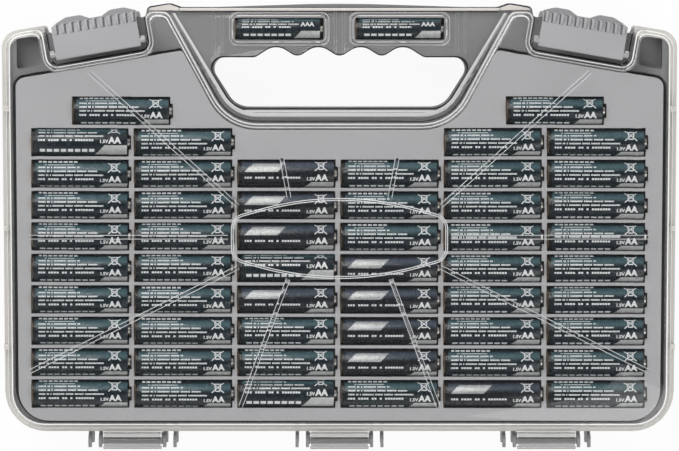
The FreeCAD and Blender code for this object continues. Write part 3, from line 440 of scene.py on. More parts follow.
def make_cell_row(name, node, centres, profile, axis_y, axis_z, radius, wrap, marks, kinds, spins, sides=64):
    """Lathe every cell of one row into a single mesh with sleeve, steel, bronze and print."""
    points, faces, slots, uvs, kind_values, spin_values = [], [], [], [], [], []
    length = profile[-1][0] - profile[0][0]
    for centre, kind, spin_shift in zip(centres, kinds, spins):
        base = len(points)
        for x, r, _ in profile:
            for step in range(sides):
                turn = math.tau * step / sides
                points.append((centre + x, axis_y + r * math.sin(turn), axis_z - r * math.cos(turn)))
                kind_values.append(kind)
                spin_values.append(spin_shift)
        for ring in range(len(profile) - 1):
            for step in range(sides):
                after = (step + 1) % sides
                a, b = base + ring * sides + step, base + ring * sides + after
                faces.append((a, b, b + sides, a + sides))
                slots.append(sleeve_part if profile[ring][2] == sleeve_part else profile[ring + 1][2])
                u0 = (profile[ring][0] - profile[0][0]) / length
                u1 = (profile[ring + 1][0] - profile[0][0]) / length
                v0, v1 = step / sides, (step + 1) / sides
                uvs.append(((u0, v0), (u0, v1), (u1, v1), (u1, v0)))
        for ring, order in ((0, -1), (len(profile) - 1, 1)):
            cap = [base + ring * sides + step for step in range(sides)]
            faces.append(tuple(cap[::order]))
            slots.append(profile[ring][2])
            uvs.append(((0, 0),) * sides)
        for (mark_points, mark_faces), start, lift, spin in marks:
            base = len(points)
            for x, y, _ in mark_points:
                turn = math.pi + (y * math.cos(spin) + x * math.sin(spin) + lift + spin_shift) / radius
                along = centre + start + x * math.cos(spin) - y * math.sin(spin)
                points.append((along, axis_y + (radius + 0.02) * math.sin(turn) * -1,
                               axis_z - (radius + 0.02) * math.cos(turn)))
                kind_values.append(kind)
                spin_values.append(spin_shift)
            for face in mark_faces:
                faces.append(tuple(base + i for i in face))
                slots.append(ink_part)
                uvs.append(((0, 0),) * len(face))
    mesh = bpy.data.meshes.new(name)
    mesh.from_pydata([(x * 0.001, y * 0.001 + hinge_edge, z * 0.001) for x, y, z in points], [], faces)
    for paint in (wrap, steel, bronze, white_ink):
        mesh.materials.append(paint)
    layer = mesh.uv_layers.new(name="sleeve")
    for polygon, slot, corners in zip(mesh.polygons, slots, uvs):
        polygon.material_index = slot
        polygon.use_smooth = slot != ink_part and len(corners) == 4
        for loop, corner in zip(polygon.loop_indices, corners):
            layer.data[loop].uv = corner
    tone = mesh.attributes.new("kind", "FLOAT", "POINT")
    tone.data.foreach_set("value", kind_values)
    turn_shift = mesh.attributes.new("spin", "FLOAT", "POINT")
    turn_shift.data.foreach_set("value", spin_values)
    mesh.set_sharp_from_angle(angle=math.radians(40))
    row = bpy.data.objects.new(name, mesh)
    scene.collection.objects.link(row)
    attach(row, "case")
    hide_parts(node)
    return row


def bars(*runs):
    """A small abstract mark of straight bars, each from one point to another."""
    work = bmesh.new()
    for x0, y0, x1, y1, thick in runs:
        run = Vector((x1 - x0, y1 - y0)).normalized()
        side = Vector((-run.y, run.x)) * thick / 2
        work.faces.new([work.verts.new((x + side.x * way, y + side.y * way, 0.0))
                        for x, y, way in ((x0, y0, -1), (x1, y1, -1), (x1, y1, 1), (x0, y0, 1))])
    return into_strips(work)


crossed = bars((-3.1, -2.8, 3.1, 2.8, 0.5), (-3.1, 2.8, 3.1, -2.8, 0.5), (-1.9, 1.9, 1.9, 1.9, 0.6),
               (-1.5, 1.6, -1.1, -1.9, 0.5), (1.5, 1.6, 1.1, -1.9, 0.5), (-1.2, -2.0, 1.2, -2.0, 0.5))
aa_marks = [(flat_words("AA", 4.5, 0.05), 14.2, -3.9, 0.0), (flat_words("1.5V", 2.4, 0.04), 9.4, -3.8, 0.0),
            (crossed, 16.9, 4.0, 0.0)]
random.seed(4)
odd_cells = {(2, 2), (3, 2), (4, 2), (6, 2), (5, 3), (6, 3), (7, 3), (8, 3), (9, 4)}
for number in range(1, 10):
    columns = (0, 1, 4, 5) if number == 1 else range(6)
    centres = [first_column + column_pitch * column for column in columns]
    kinds = [1.0 if (number, column) in odd_cells else 0.0 for column in columns]
    spins = [random.uniform(-0.5, 0.5) + (3.8 if (number, column) in {(1, 0), (9, 2), (5, 2)} else 0.0)
             for column in columns]
    make_cell_row(f"aa_cells_{number}", f"aa_row_{number}", centres, aa_profile,
                  lowest_row + row_pitch * (9 - number), aa_z, aa_radius, aa_sleeve, aa_marks, kinds, spins)
top_cell_x, top_cell_y = 110.0, 164.0
for side, x in (("left", -top_cell_x), ("right", top_cell_x)):
    make_cell_row(f"aa_cell_top_{side}", f"aa_top_{side}", [x], aa_profile,
                  top_cell_y, aa_z, aa_radius, aa_sleeve, aa_marks, [0.0], [0.2])

# AAA cells: the two smaller cells in the handle's own wells, of the same make.
# They lie lower than the tray's cells, under their raised windows.
aaa_length, aaa_girth, aaa_radius = 42.3, 32.7, 5.18
handle_cell_x, handle_cell_y, aaa_z = 30.7, 205.5, 43.0
aaa_profile = can_profile(
    [(-22.0, 0.05), (-22.0, 2.9), (-22.2, 3.2), (-22.2, 4.5), (-22.0, 4.95)],
    [(-21.6, 5.05), (-21.4, 5.18), (20.2, 5.18), (20.6, 5.1), (20.9, 4.85)],
    [(20.9, 3.6), (20.75, 3.4), (20.75, 2.2), (20.9, 1.9), (22.0, 1.88), (22.2, 1.6), (22.2, 0.05)])
aaa_sleeve = sleeve("aaa_sleeve", aaa_length, aaa_girth, (0.010, 0.019, 0.024), (0.055, 0.105, 0.12))
aaa_marks = [(flat_words("AAA", 3.3, 0.035), 11.0, -1.2, 0.0)]
for side, x in (("left", -handle_cell_x), ("right", handle_cell_x)):
    make_cell_row(f"aaa_cell_{side}", f"aaa_{side}", [x], aaa_profile,
                  handle_cell_y, aaa_z, aaa_radius, aaa_sleeve, aaa_marks, [0.0], [2.6])


# Painted shadow: a black strip round each tray, lying over the narrow channel between the tray and the
# frame, stands for the deep shade there.
# It follows the tray's outline past the latch notches, up the handle's legs and along the bridge.
case_depth = 64.0
tilt = math.radians(9.8)
latch_x, latch_y = -122.0, 194.4
side_flare = 1.3
leg_foot_x, leg_foot_y = 56.0, 158.0
tray_side, tray_foot, tray_bridge = 164.3, 6.3, 154.4
tray_shoulder, tray_leg_gap = -6.9, 3.6
leg_lean = -30.6 / 58.8


def latch_place(along, across):
    """A point along and across the left latch, in millimetres of the case."""
    return (latch_x + along * math.cos(tilt) - across * math.sin(tilt),
            latch_y + along * math.sin(tilt) + across * math.cos(tilt))


def rounded(corners, steps=8):
    """Points of an outline whose corners (x, y, radius) are rounded, the same number for each corner."""
    outline = []
    count = len(corners)
    for i, (x, y, radius) in enumerate(corners):
        here = Vector((x, y))
        before = (here - Vector(corners[i - 1][:2])).normalized()
        after = (Vector(corners[(i + 1) % count][:2]) - here).normalized()
        turn = math.atan2(before.x * after.y - before.y * after.x, before.dot(after))
        if radius <= 0.01 or abs(turn) < 0.002:
            outline += [(x, y)] * (steps + 1 if radius > 0 else 1)
            continue
        start = here - before * radius * math.tan(abs(turn) / 2)
        side = 1 if turn > 0 else -1
        centre = start + Vector((-before.y, before.x)) * radius * side
        for step in range(steps + 1):
            spun = Matrix.Rotation(turn * step / steps, 2) @ (start - centre)
            outline.append(tuple(centre + spun))
    return outline


def mirrored(corners):
    """The same corners on the case's other half, listed in the same sense."""
    return [(-x, *rest) for x, *rest in reversed(corners)]


def both_halves(left):
    """A whole outline from the corners of its left half."""
    return left + mirrored(left)


def to_case(points, flip):
    """Millimetres to metres in the case's frame, flipped onto the rear side if asked."""
    return [(x * 0.001, y * 0.001 + hinge_edge, (case_depth - z if flip else z) * 0.001)
            for x, y, z in points]


class Moulding:
    """Collects the closed shells of one moulding, and makes its mesh for the front or the rear."""

    def __init__(self):
        self.points, self.faces, self.slots = [], [], []

    def add(self, points, faces, slot):
        """One shell, painted with the plastic in that slot."""
        base = len(self.points)
        self.points += points
        self.faces += [tuple(base + i for i in face) for face in faces]
        self.slots += [slot] * len(faces)

    def shell(self, loops, slot=0, gap=-1):
        """Skin from each loop to the next and from the last to the first, with two caps at the gap.

        The gap follows the loop of that number. With None there is none, as in a tube's wall.
        """
        count, turns = len(loops[0]), len(loops)
        gap = turns - 1 if gap == -1 else gap
        faces = []
        for ring in range(turns):
            if ring != gap:
                after = (ring + 1) % turns
                for i in range(count):
                    j = (i + 1) % count
                    faces.append((ring * count + i, ring * count + j, after * count + j, after * count + i))
        if gap is not None:
            faces.append(tuple((gap + 1) % turns * count + i for i in range(count))[::-1])
            faces.append(tuple(gap * count + i for i in range(count)))
        self.add([point for loop in loops for point in loop], faces, slot)

    def plate(self, outlines, low, high, edge, slot=0):
        """Flat plate with holes and rounded edges."""
        curve = bpy.data.curves.new("plate", "CURVE")
        curve.dimensions = "2D"
        curve.fill_mode = "BOTH"
        curve.extrude = (high - low) / 2 - edge
        curve.bevel_depth = edge
        curve.bevel_resolution = 2
        curve.offset = -edge
        for outline in outlines:
            spline = curve.splines.new("POLY")
            spline.points.add(len(outline) - 1)
            for point, (x, y) in zip(spline.points, outline):
                point.co = (x, y, 0, 1)
            spline.use_cyclic_u = True
        holder = bpy.data.objects.new("plate", curve)
        scene.collection.objects.link(holder)
        bpy.context.view_layer.update()
        mesh = bpy.data.meshes.new_from_object(holder)
        middle = (low + high) / 2
        work = bmesh.new()
        work.from_mesh(mesh)
        bmesh.ops.remove_doubles(work, verts=work.verts, dist=0.001)
        bmesh.ops.recalc_face_normals(work, faces=work.faces)
        work.verts.index_update()
        self.add([(v.co.x, v.co.y, v.co.z + middle) for v in work.verts],
                 [tuple(v.index for v in f.verts) for f in work.faces], slot)
        work.free()
        bpy.data.objects.remove(holder)
        bpy.data.curves.remove(curve)
        bpy.data.meshes.remove(mesh)

    def finish(self, name, paints, body, nodes=(), flip=False, mirror=False):
        """The mesh object, riding on its body in place of its CAD nodes."""
        mesh = bpy.data.meshes.new(name)
        points = [(-x, y, z) for x, y, z in self.points] if mirror else self.points
        mesh.from_pydata(to_case(points, flip), [], self.faces)
        for paint in paints:
            mesh.materials.append(paint)
        mesh.polygons.foreach_set("material_index", self.slots)
        work = bmesh.new()
        work.from_mesh(mesh)
        bmesh.ops.dissolve_degenerate(work, dist=0.000001, edges=work.edges)
        bmesh.ops.recalc_face_normals(work, faces=work.faces)
        work.to_mesh(mesh)
        work.free()
        mesh.polygons.foreach_set("use_smooth", [True] * len(mesh.polygons))
        mesh.set_sharp_from_angle(angle=math.radians(32))
        piece = bpy.data.objects.new(name, mesh)
        scene.collection.objects.link(piece)
        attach(piece, body)
        if nodes:
            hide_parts(*nodes)
        return piece


def tray_corners(at_side, at_foot, at_shoulder, at_leg):
    """The tray's outline, each of its sides moved out by its own amount."""
    side = -tray_side - at_side
    line_x, line_y = latch_place(0.0, tray_shoulder + at_shoulder)
    leg_x = -leg_foot_x - leg_foot_y * leg_lean - (tray_leg_gap - at_leg) * 1.13
    high = (line_y + (leg_x - line_x) * math.tan(tilt)) / (1.0 - leg_lean * math.tan(tilt))
    low = tray_bridge + at_leg
    return both_halves([
        (side + side_flare, tray_foot - at_foot, 15.5 + at_side),
        (side, line_y + (side - line_x) * math.tan(tilt), 5.0),
        (leg_x + high * leg_lean, high, 4.0),
        (leg_x + low * leg_lean, low, 25.8),
    ])


# The painted shadow strip round the front tray, and its copy for the rear.
tray_edge_shadow = Moulding()
shadow_gap, shadow_low, shadow_top, shadow_round = 0.12, 44.02, 45.2, 0.3
shadow_outside = rounded(tray_corners(2.3, 1.55, 0.6, 1.2))
shadow_inside = rounded(tray_corners(shadow_gap, shadow_gap, shadow_gap, shadow_gap))
tray_edge_shadow.plate([shadow_outside, shadow_inside], shadow_low, shadow_top, shadow_round)
# Near-black plastic for the painted shadow strip.
shadow_black = moulded_plastic("painted_tray_edge_shadow", (0.008, 0.008, 0.009), 0.05, 0.7, 0.00003)
tray_edge_shadow.finish("front_tray_edge_shadow", [shadow_black], "case")
tray_edge_shadow.finish("rear_tray_edge_shadow", [shadow_black], "case", flip=True)

# Covers: two alike clear styrene mouldings, hinged on the frame's rods, each a shallow dome.
# The rim is thicker and would carry light to its edge; that light is painted on as a milky, faintly glowing
# strip beside the clear plateau.
# Thin lines of painted highlight and painted shade stand where the moulding's edges catch the light or hide
# it.
clear_part, painted_glow_part, painted_highlight_part, painted_bridge_part, painted_shade_part = range(5)
half_width = 172.0
corner_round, shoulder_round, bridge_round = 21.0, 9.0, 24.0
notch_half, notch_foot, ledge_across, lip_across = 25.85, -4.0, 13.1, 17.5
horn_x, horn_top, crest_x, crest_top = 86.6, 218.8, 81.0, 216.8
grip_foot_x, grip_foot_y = 53.1, 165.3
grip_end_x, finger_foot, finger_top, finger_pitch = 69.4, 190.9, 197.7, 21.5
dome_margin, dome_lip, dome_horn_top, leg_share = 2.4, 16.5, 214.4, 0.6
rim_low, rim_top, on_rim, wall_foot = 44.1, 46.0, 46.01, 46.02
plateau, wall, draft, outer_fillet, inner_fillet = 63.55, 1.9, 0.35, 2.2, 1.4


def shoulder_height(x):
    """Height of the sloping shoulder at one place along the case."""
    lip_x, lip_y = latch_place(-notch_half, lip_across)
    return lip_y + (x - lip_x) * math.tan(tilt)


def rim_corners(inset):
    """The cover's outer edge, moved in by the inset."""
    side = -half_width + inset
    ledge_end = latch_place(notch_half, ledge_across)
    return both_halves([
        (side + side_flare, inset, corner_round - inset),
        (side, shoulder_height(side) - inset, shoulder_round - inset),
        (*latch_place(-notch_half, lip_across - inset), 2.0),
        (*latch_place(-notch_half, ledge_across), 1.5),
        (*ledge_end, 1.5),
        (ledge_end[0] + 1.0, 217.0 - inset, 2.5),
        (-horn_x, horn_top - inset, 4.0),
        (-crest_x, crest_top - inset, 6.0),
    ])


def grip_corners(grow=0.0):
    """The hand opening with its four finger hollows, moved out by the amount given."""
    top = [(-2 * finger_pitch, finger_foot + grow, 5.0)]
    for finger in range(4):
        crest = (finger - 1.5) * finger_pitch
        top += [(crest, finger_top + grow, 9.0), (crest + finger_pitch / 2, finger_foot + grow, 5.0)]
    end = [(-grip_foot_x - grow, grip_foot_y - grow, 12.0), (-grip_end_x - grow, finger_foot + grow, 6.0)]
    return end + top + mirrored(end)


def dome_corners(inset):
    """The dome's outline at one level, moved in by the inset."""
    notch = notch_half + inset
    side = -half_width + dome_margin + inset
    lip = dome_lip - inset
    return both_halves([
        (side + side_flare, dome_margin + inset, 18.6 - inset),
        (side, shoulder_height(side) - 1.0 - inset, shoulder_round - inset),
        (*latch_place(-notch, lip), 4.0),
        (*latch_place(-notch, notch_foot - inset), 5.0 + inset),
        (*latch_place(notch, notch_foot - inset), 5.0 + inset),
        (latch_place(notch, lip)[0], 214.6 - inset, 4.0 - inset * 0.4),
        (-horn_x - inset * leg_share, dome_horn_top - inset, 4.8 - inset * 0.4),
        (-leg_foot_x - inset * leg_share, leg_foot_y - inset, bridge_round + inset),
    ])


def box_corners(x, y, half_x, half_y, radius):
    """A box about its centre."""
    return [(x - half_x, y - half_y, radius), (x + half_x, y - half_y, radius),
            (x + half_x, y + half_y, radius), (x - half_x, y + half_y, radius)]


def level_loop(corners, z, steps=8):
    """A rounded outline at one height."""
    return [(x, y, z) for x, y in rounded(corners, steps)]


def fillet_levels(inset, z, radius):
    """Inset and height pairs of a quarter-round edge."""
    return [(inset + radius * (1 - math.cos(a)), z + radius * math.sin(a))
            for a in (math.radians(d) for d in (0, 22.5, 45, 67.5, 90))]


# The dome: a hollow shell with a rounded shoulder, open towards the tray.
cover = Moulding()
outer_levels = [(0.0, wall_foot)] + fillet_levels(draft, plateau - outer_fillet, outer_fillet)
inner_levels = [(inset + wall, z - wall)
                for inset, z in reversed(fillet_levels(draft, plateau - inner_fillet, inner_fillet))]
inner_levels.append((wall, wall_foot))
cover.shell([level_loop(dome_corners(inset), z) for inset, z in outer_levels + inner_levels],
            gap=len(outer_levels) - 1)

# The rim plate round the dome, and the raised windows and straps over the handle's cells.
window_holes = [rounded(box_corners(x, handle_cell_y, 24.1, 7.0, 2.4), 6)
                for x in (-handle_cell_x, handle_cell_x)]
cover.plate([rounded(rim_corners(0.2)), rounded(dome_corners(2.2)), rounded(grip_corners()), *window_holes],
            rim_low, rim_top, 0.3)
window_half_x, window_half_y, window_round = 25.7, 8.6, 4.0
window_outer = [(0.0, wall_foot)] + fillet_levels(0.1, 49.4, 1.2)
window_inner = [(2.2, 49.1), (1.7, 48.6), (1.6, wall_foot)]
for x in (-handle_cell_x, handle_cell_x):
    window = []
    for inset, z in window_outer + window_inner:
        half_x, half_y, turn = window_half_x - inset, window_half_y - inset, window_round - inset * 0.5
        window.append(level_loop(box_corners(x, handle_cell_y, half_x, half_y, turn), z, 6))
    cover.shell(window, gap=len(window_outer) - 1)
for strap_x in (-62.0, 0.0, 62.0):
    for side in (-1, 1):
        strap = rounded(box_corners(strap_x + side * 2.1, 204.5, 0.7, 11.0, 0.5), 3)
        cover.plate([strap], wall_foot, 47.3, 0.35)

# The raised badge and the rays that run from it, each a clear strip between two painted highlight lines.
badge_y = 99.5
emboss_low, emboss_high = plateau + 0.01, 63.99


def badge_corners(inset):
    """The oval badge: short upright ends, bowed top and foot."""
    side, ends, crown, turn = 55.0 - inset, 11.0 - inset * 0.8, 26.0 - inset, 8.0 - inset
    return [(-side, badge_y - ends, turn), (0.0, badge_y - crown, 150.0), (side, badge_y - ends, turn),
            (side, badge_y + ends, turn), (0.0, badge_y + crown, 150.0), (-side, badge_y + ends, turn)]


for outer, inner, part in ((0.03, 0.4, painted_highlight_part), (0.42, 0.98, clear_part), (1.0, 1.36, painted_highlight_part)):
    cover.plate([rounded(badge_corners(outer), 24), rounded(badge_corners(inner), 24)],
                emboss_low, emboss_high, 0.1, slot=part)
rays = ((51.48, 116.0, 126.76, 183.96), (56.49, 100.16, 157.38, 100.19), (51.15, 84.98, 156.86, 31.97),
        (25.52, 120.07, 29.24, 140.16), (26.02, 78.93, 50.22, 14.02))
for x0, y0, x1, y1 in rays:
    run = Vector((x1 - x0, y1 - y0)).normalized()
    across = Vector((-run.y, run.x))
    for near, far, part in ((-1.1, -0.86, painted_highlight_part), (-0.84, 0.84, clear_part), (0.86, 1.1, painted_highlight_part)):
        a, b = across * near, across * far
        strip = [(x0 + a.x, y0 + a.y, 0.05), (x1 + a.x, y1 + a.y, 0.05), (x1 + b.x, y1 + b.y, 0.05),
                 (x0 + b.x, y0 + b.y, 0.05)]
        for ray in (strip, mirrored(strip)):
            cover.plate([rounded(ray, 2)], emboss_low, emboss_high, 0.08, slot=part)


def ribbon(route, near, far):
    """A closed outline between two runs of the same route."""
    return rounded(route(near) + route(far)[::-1])


def leg_route(a):
    """Down one leg of the handle, along the bridge below the opening and up the other leg."""
    return both_halves([(-horn_x - a * leg_share, 213.5, 0.2),
                        (-leg_foot_x - a * leg_share, leg_foot_y - a, bridge_round + a)])


def grip_route(grow):
    """Round the foot of the hand opening."""
    return both_halves([(-grip_end_x - grow * 1.1, 187.0, 0.2),
                        (-grip_foot_x - grow * 0.6, grip_foot_y - grow, 12.0 + grow)])


def notch_route(gap):
    """Along the foot of the notch's wall, on the latch's side."""
    side, foot, turn = notch_half - gap, notch_foot + gap, 5.0 - gap
    return [(*latch_place(-side, 13.0), 0.2), (*latch_place(-side, foot), turn),
            (*latch_place(side, foot), turn), (*latch_place(side, 13.0), 0.2)]


def crest_line(reach, top, foot, radius):
    """A straight line along the handle's crest."""
    return rounded([(-reach, top, radius), (reach, top, radius),
                    (reach, foot, radius), (-reach, foot, radius)])


# Painted shade lines on the rim, dark where the clear edges hide the light: round its edge and the grip, in
# the notches, down the legs and along the crest.
notch_shade_line = ribbon(notch_route, 0.15, 0.9)
for painted_shade_line in ([rounded(rim_corners(0.22)), rounded(rim_corners(0.85))],
                  [rounded(grip_corners(0.75)), rounded(grip_corners(0.1))],
                  [notch_shade_line], [mirrored(notch_shade_line)],
                  [ribbon(leg_route, -0.15, -0.75)], [crest_line(crest_x, 214.4, 213.9, 0.1)]):
    cover.plate(painted_shade_line, on_rim, 46.2, 0.06, slot=painted_shade_part)
horn_glow_fill = [(-96.9, 216.0, 1.6), (-86.6, 217.9, 3.2), (-81.9, 216.3, 0.4), (-81.9, 214.9, 0.4),
             (-86.8, 215.0, 2.0), (-96.9, 215.0, 0.3)]
# Raised clear beads, and whitish strips of painted glow and painted highlight, on the legs, the bridge, the
# grip, the crest and the horns.
for bead_and_glow_strip, top, edge, part in (
    (ribbon(leg_route, -1.6, -2.6), 47.6, 0.35, clear_part),
    (ribbon(leg_route, -2.75, -4.8), 46.6, 0.3, painted_bridge_part),
    (rounded(box_corners(0.0, 163.6, 48.0, 0.5, 0.4)), 46.6, 0.2, painted_bridge_part),
    (ribbon(grip_route, 1.4, 2.3), 47.2, 0.3, clear_part),
    (crest_line(81.5, 216.2, 214.7, 0.5), 46.9, 0.3, painted_glow_part),
    (rounded(horn_glow_fill), 46.35, 0.1, painted_glow_part),
    (rounded(mirrored(horn_glow_fill)), 46.35, 0.1, painted_glow_part),
):
    cover.plate([bead_and_glow_strip], on_rim, top, edge, slot=part)
# Small tabs on the rim's sides, in the milky painted-glow plastic.
for rib_y in (43.6, 104.0, 164.9):
    for side in (-1, 1):
        cover.plate([rounded(box_corners(side * 169.8, rib_y, 1.2, 1.45, 0.4), 3)], rim_top, 51.9, 0.3,
                    slot=painted_glow_part)


def rim_glow_strip(width):
    """The rim's U in milky painted glow, down one side, along the hinge edge and up the other."""
    side, foot_side = -half_width, -half_width + side_flare
    outer = [(*latch_place(-notch_half, lip_across), 1.5), (side, shoulder_height(side), shoulder_round),
             (foot_side, 0.0, corner_round)]
    inner = [(*latch_place(-notch_half, lip_across - width), 0.5),
             (side + width, shoulder_height(side + width) - width, shoulder_round - width * 0.8),
             (foot_side + width, width, corner_round - width)]
    return rounded(both_halves(outer)[::-1] + both_halves(inner))


# Painted glow: the milky strip round the rim's outer edge.
cover.plate([rim_glow_strip(3.9)], 44.05, 46.6, 0.4, slot=painted_glow_part)

# Hinge barrels round the frame's rods, each with a strap to the rim and three painted shade lines.
rod_y, rod_z, hinge_pitch, barrel_sides = -5.0, 46.0, 105.8, 32
barrel_profile = ((-15.0, 4.0), (-14.6, 4.3), (14.6, 4.3), (15.0, 4.0), (15.0, 2.1), (14.7, 1.85),
                  (-14.7, 1.85), (-15.0, 2.1))


def ring_about(along, across, z, radius, sides):
    """A circle about a line that runs along the hinge or the pins."""
    return [(along, across + radius * math.cos(turn), z + radius * math.sin(turn))
            for turn in (math.tau * k / sides for k in range(sides))]


for x in (-hinge_pitch, 0.0, hinge_pitch):
    cover.shell([ring_about(x + along, rod_y, rod_z, radius, barrel_sides)[::-1]
                 for along, radius in barrel_profile], gap=None)
    cover.plate([rounded(box_corners(x, 0.6, 14.9, 3.0, 0.6), 3)], 45.0, 49.0, 0.4)
    for line_y, z in ((-0.75, 49.01), (-3.2, 49.95), (-6.8, 49.95)):
        cover.plate([rounded(box_corners(x, line_y, 14.5, 0.24, 0.1), 3)], z, z + 0.14, 0.04, slot=painted_shade_part)

# Ears at both ends of each latch, which carry its pins.
latch_half, ear_gap, ear_thick = 21.65, 0.55, 2.2
ear = rounded([(-6.0, 47.0, 0.3), (4.0, 47.0, 0.3), (4.0, 62.7, 2.4), (-6.0, 62.7, 0.3)], 5)
for along in (-latch_half - ear_gap - ear_thick, latch_half + ear_gap):
    near, far = [[(*latch_place(place, across), z) for across, z in ear]
                 for place in (along, along + ear_thick)]
    cover.shell([far, near])
    cover.shell([[(-x, y, z) for x, y, z in loop] for loop in (near, far)])

# Painted edge light from how far a face turns from the eye: the first output is a painted highlight line,
# the second painted shade where the face is seen nearly edge-on.
painted_edge_light, edge_in, edge_out = new_group(
    "painted_edge_light", [("Facing", "Float", 0.0)], [("Bright", "Float"), ("Dark", "Float")])
line = calculate(painted_edge_light, "PINGPONG", edge_in.outputs["Facing"], 0.4)
steep = calculate(painted_edge_light, "MULTIPLY_ADD", edge_in.outputs["Facing"], 5.0, -2.6)
steep.node.use_clamp = True
lit = calculate(painted_edge_light, "MULTIPLY_ADD", line, 3.2, -0.4)
lit.node.use_clamp = True
painted_edge_light.links.new(calculate(painted_edge_light, "MULTIPLY", lit, calculate(painted_edge_light, "SUBTRACT", 1.0, steep)),
                     edge_out.inputs["Bright"])
painted_edge_light.links.new(steep, edge_out.inputs["Dark"])


def clear_plastic(name, tint, rough, milk, glow=0.24, shade=0.95):
    """Clear styrene: real refraction for what the eye sees, straight light for shadows.

    Its bent edges get painted light: a white emission line where the face is turned partly from the eye, and
    a dark base colour where it is seen nearly edge-on.
    """
    paint, tree, shader = new_paint(name)
    shader.inputs["Transmission Weight"].default_value = 1.0 - milk
    shader.inputs["IOR"].default_value = 1.45
    scuffs = speckle(tree, 120.0, 6.0)
    tree.links.new(calculate(tree, "MULTIPLY_ADD", scuffs, 0.03, rough), shader.inputs["Roughness"])
    lean = tree.nodes.new("ShaderNodeLayerWeight")
    edges = tree.nodes.new("ShaderNodeGroup")
    edges.node_tree = painted_edge_light
    tree.links.new(lean.outputs["Facing"], edges.inputs["Facing"])
    body_tint = lay_colour(tree, tint, tuple(c * 0.985 for c in tint), scuffs)
    # Painted shade: the base colour goes nearly black where the face is seen edge-on.
    dark = calculate(tree, "MULTIPLY", edges.outputs["Dark"], shade)
    tree.links.new(lay_colour(tree, body_tint, (0.05, 0.05, 0.055), dark), shader.inputs["Base Color"])
    # Painted highlight: whitish emission along the bent edges.
    painted_edge_glow = calculate(tree, "MULTIPLY", edges.outputs["Bright"], glow)
    shader.inputs["Emission Strength"].default_value = 1.0
    tree.links.new(lay_colour(tree, (0.0, 0.0, 0.0), (1.0, 0.99, 0.97), painted_edge_glow),
                   shader.inputs["Emission Color"])
    path = tree.nodes.new("ShaderNodeLightPath")
    open_way = tree.nodes.new("ShaderNodeBsdfTransparent")
    open_way.inputs["Color"].default_value = (0.94, 0.94, 0.94, 1)
    choose = tree.nodes.new("ShaderNodeMixShader")
    shade_ray = calculate(tree, "MAXIMUM", path.outputs["Is Shadow Ray"], path.outputs["Is Diffuse Ray"])
    tree.links.new(calculate(tree, "MULTIPLY", shade_ray, 1.0 - milk), choose.inputs["Fac"])
    tree.links.new(shader.outputs["BSDF"], choose.inputs[1])
    tree.links.new(open_way.outputs["BSDF"], choose.inputs[2])
    tree.links.new(choose.outputs["Shader"], tree.nodes["Material Output"].inputs["Surface"])
    return paint


# Clear styrene, then the painted-light plastics: the milky rim glow, highlight lines, the whitish bridge and
# dark shade lines.
cover_paints = [
    clear_plastic("clear_styrene", (0.985, 0.985, 0.985), 0.0, 0.0),
    clear_plastic("painted_glow_rim", (0.82, 0.795, 0.745), 0.22, 0.7, 0.05, 0.5),
    clear_plastic("painted_highlight_line", (0.93, 0.94, 0.95), 0.1, 0.62),
    clear_plastic("painted_whitish_bridge", (0.88, 0.88, 0.88), 0.3, 0.55),
    clear_plastic("painted_shade_edge", (0.04, 0.04, 0.045), 0.15, 0.6, 0.0, 0.9),
]
cover.finish("front_cover", cover_paints, "front_lid", ["front_lid"])
cover.finish("rear_cover", cover_paints, "rear_lid", ["rear_lid"], flip=True)

# Latches: four grey snap catches, each a bent plate with grip ribs, two round pins and a finger lip.
# The pins turn in the cover's ears; the lip hooks behind the frame's ledge.
latch = Moulding()
face_z, hook_z = 61.6, 34.0
plate_section = rounded([(-1.2, face_z - 2.6, 0.5), (13.5, face_z - 2.6, 1.2), (13.5, hook_z, 0.3),
                         (16.1, hook_z, 0.3), (16.1, face_z, 4.5), (-1.2, face_z, 1.0)], 6)
rib_section = rounded([(11.6, face_z - 1.2, 0.2), (14.8, face_z - 1.2, 0.2), (14.8, face_z - 10.8, 0.2),
                       (16.8, face_z - 10.8, 0.3), (16.8, face_z - 1.9, 1.2), (14.4, face_z + 0.7, 1.2),
                       (11.6, face_z + 0.7, 0.5)], 4)
rib_count, rib_pitch = 11, 3.95
pin_across, pin_z, pin_sides = 1.6, 60.3, 24


def latch_point(along, across, z):
    """A point of the left latch, in millimetres of the case."""
    return (*latch_place(along, across), z)


def turned_over(loops):
    """Loops from the other end, each in the other sense."""
    return [loop[::-1] for loop in loops][::-1]


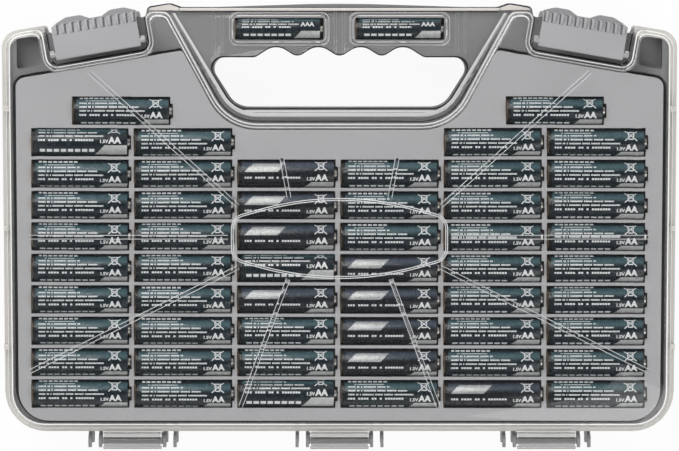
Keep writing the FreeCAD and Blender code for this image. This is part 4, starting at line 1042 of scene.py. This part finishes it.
def plate_slice(along, at_end):
    """The bent plate's section, a little smaller at its two ends."""
    if at_end:
        return [latch_point(along, across + (8.0 - across) * 0.02, z - 0.15) for across, z in plate_section]
    return [latch_point(along, across, z) for across, z in plate_section]


def rib_slice(along, shrink):
    """A grip rib's section, drawn in at its rounded flanks."""
    drawn = shrink * 0.6
    return [latch_point(along, across - drawn if across > 14 else across + drawn, z - drawn if z > 60 else z)
            for across, z in rib_section]


latch.shell(turned_over([plate_slice(along, abs(along) == latch_half)
                         for along in (-latch_half, -21.3, 21.3, latch_half)]))
for number in range(rib_count):
    along = (number - rib_count // 2) * rib_pitch
    latch.shell(turned_over([rib_slice(along + offset, shrink)
                             for offset, shrink in ((-0.72, 0.3), (-0.5, 0.0), (0.5, 0.0), (0.72, 0.3))]))
    # Painted shadow: a dark strip beside each rib, where the shade between the ribs falls.
    rib_shadow_strip = [[latch_point(along + offset, across - 0.25, z - 0.55) for across, z in rib_section]
              for offset in (0.74, 1.5)]
    latch.shell(turned_over(rib_shadow_strip), slot=1)
lip_half = [(-3.3, 17.3, 1.0), (-7.9, 19.7, 5.0), (-15.0, 19.7, 5.0), (-20.8, 17.3, 1.0), (-20.8, 14.8, 0.2)]
lip_outline = rounded(both_halves(lip_half), 6)
latch.shell([[latch_point(along, across, z) for along, across in lip_outline]
             for z in (hook_z + 0.05, 36.3)])
for side in (-1, 1):
    pin = [[latch_point(*point) for point in ring_about(side * along, pin_across, pin_z, radius, pin_sides)]
           for along, radius in ((20.5, 1.3), (24.2, 1.3), (24.4, 1.1))]
    latch.shell([ring[::-1] for ring in pin] if side > 0 else pin)
# Latch grey, and near-black for the painted shadow strips beside the ribs.
latch_paints = [moulded_plastic("latch_grey", (0.36, 0.36, 0.37), 0.06, 0.4, 0.00004),
                moulded_plastic("painted_rib_shadow", (0.11, 0.11, 0.115), 0.06, 0.6, 0.00004)]
for place, flip in (("front", False), ("rear", True)):
    for hand, mirror in (("left", False), ("right", True)):
        body = f"{place}_{hand}_latch"
        latch.finish(body + "_moulding", latch_paints, body, [body],
                     flip=flip, mirror=mirror)
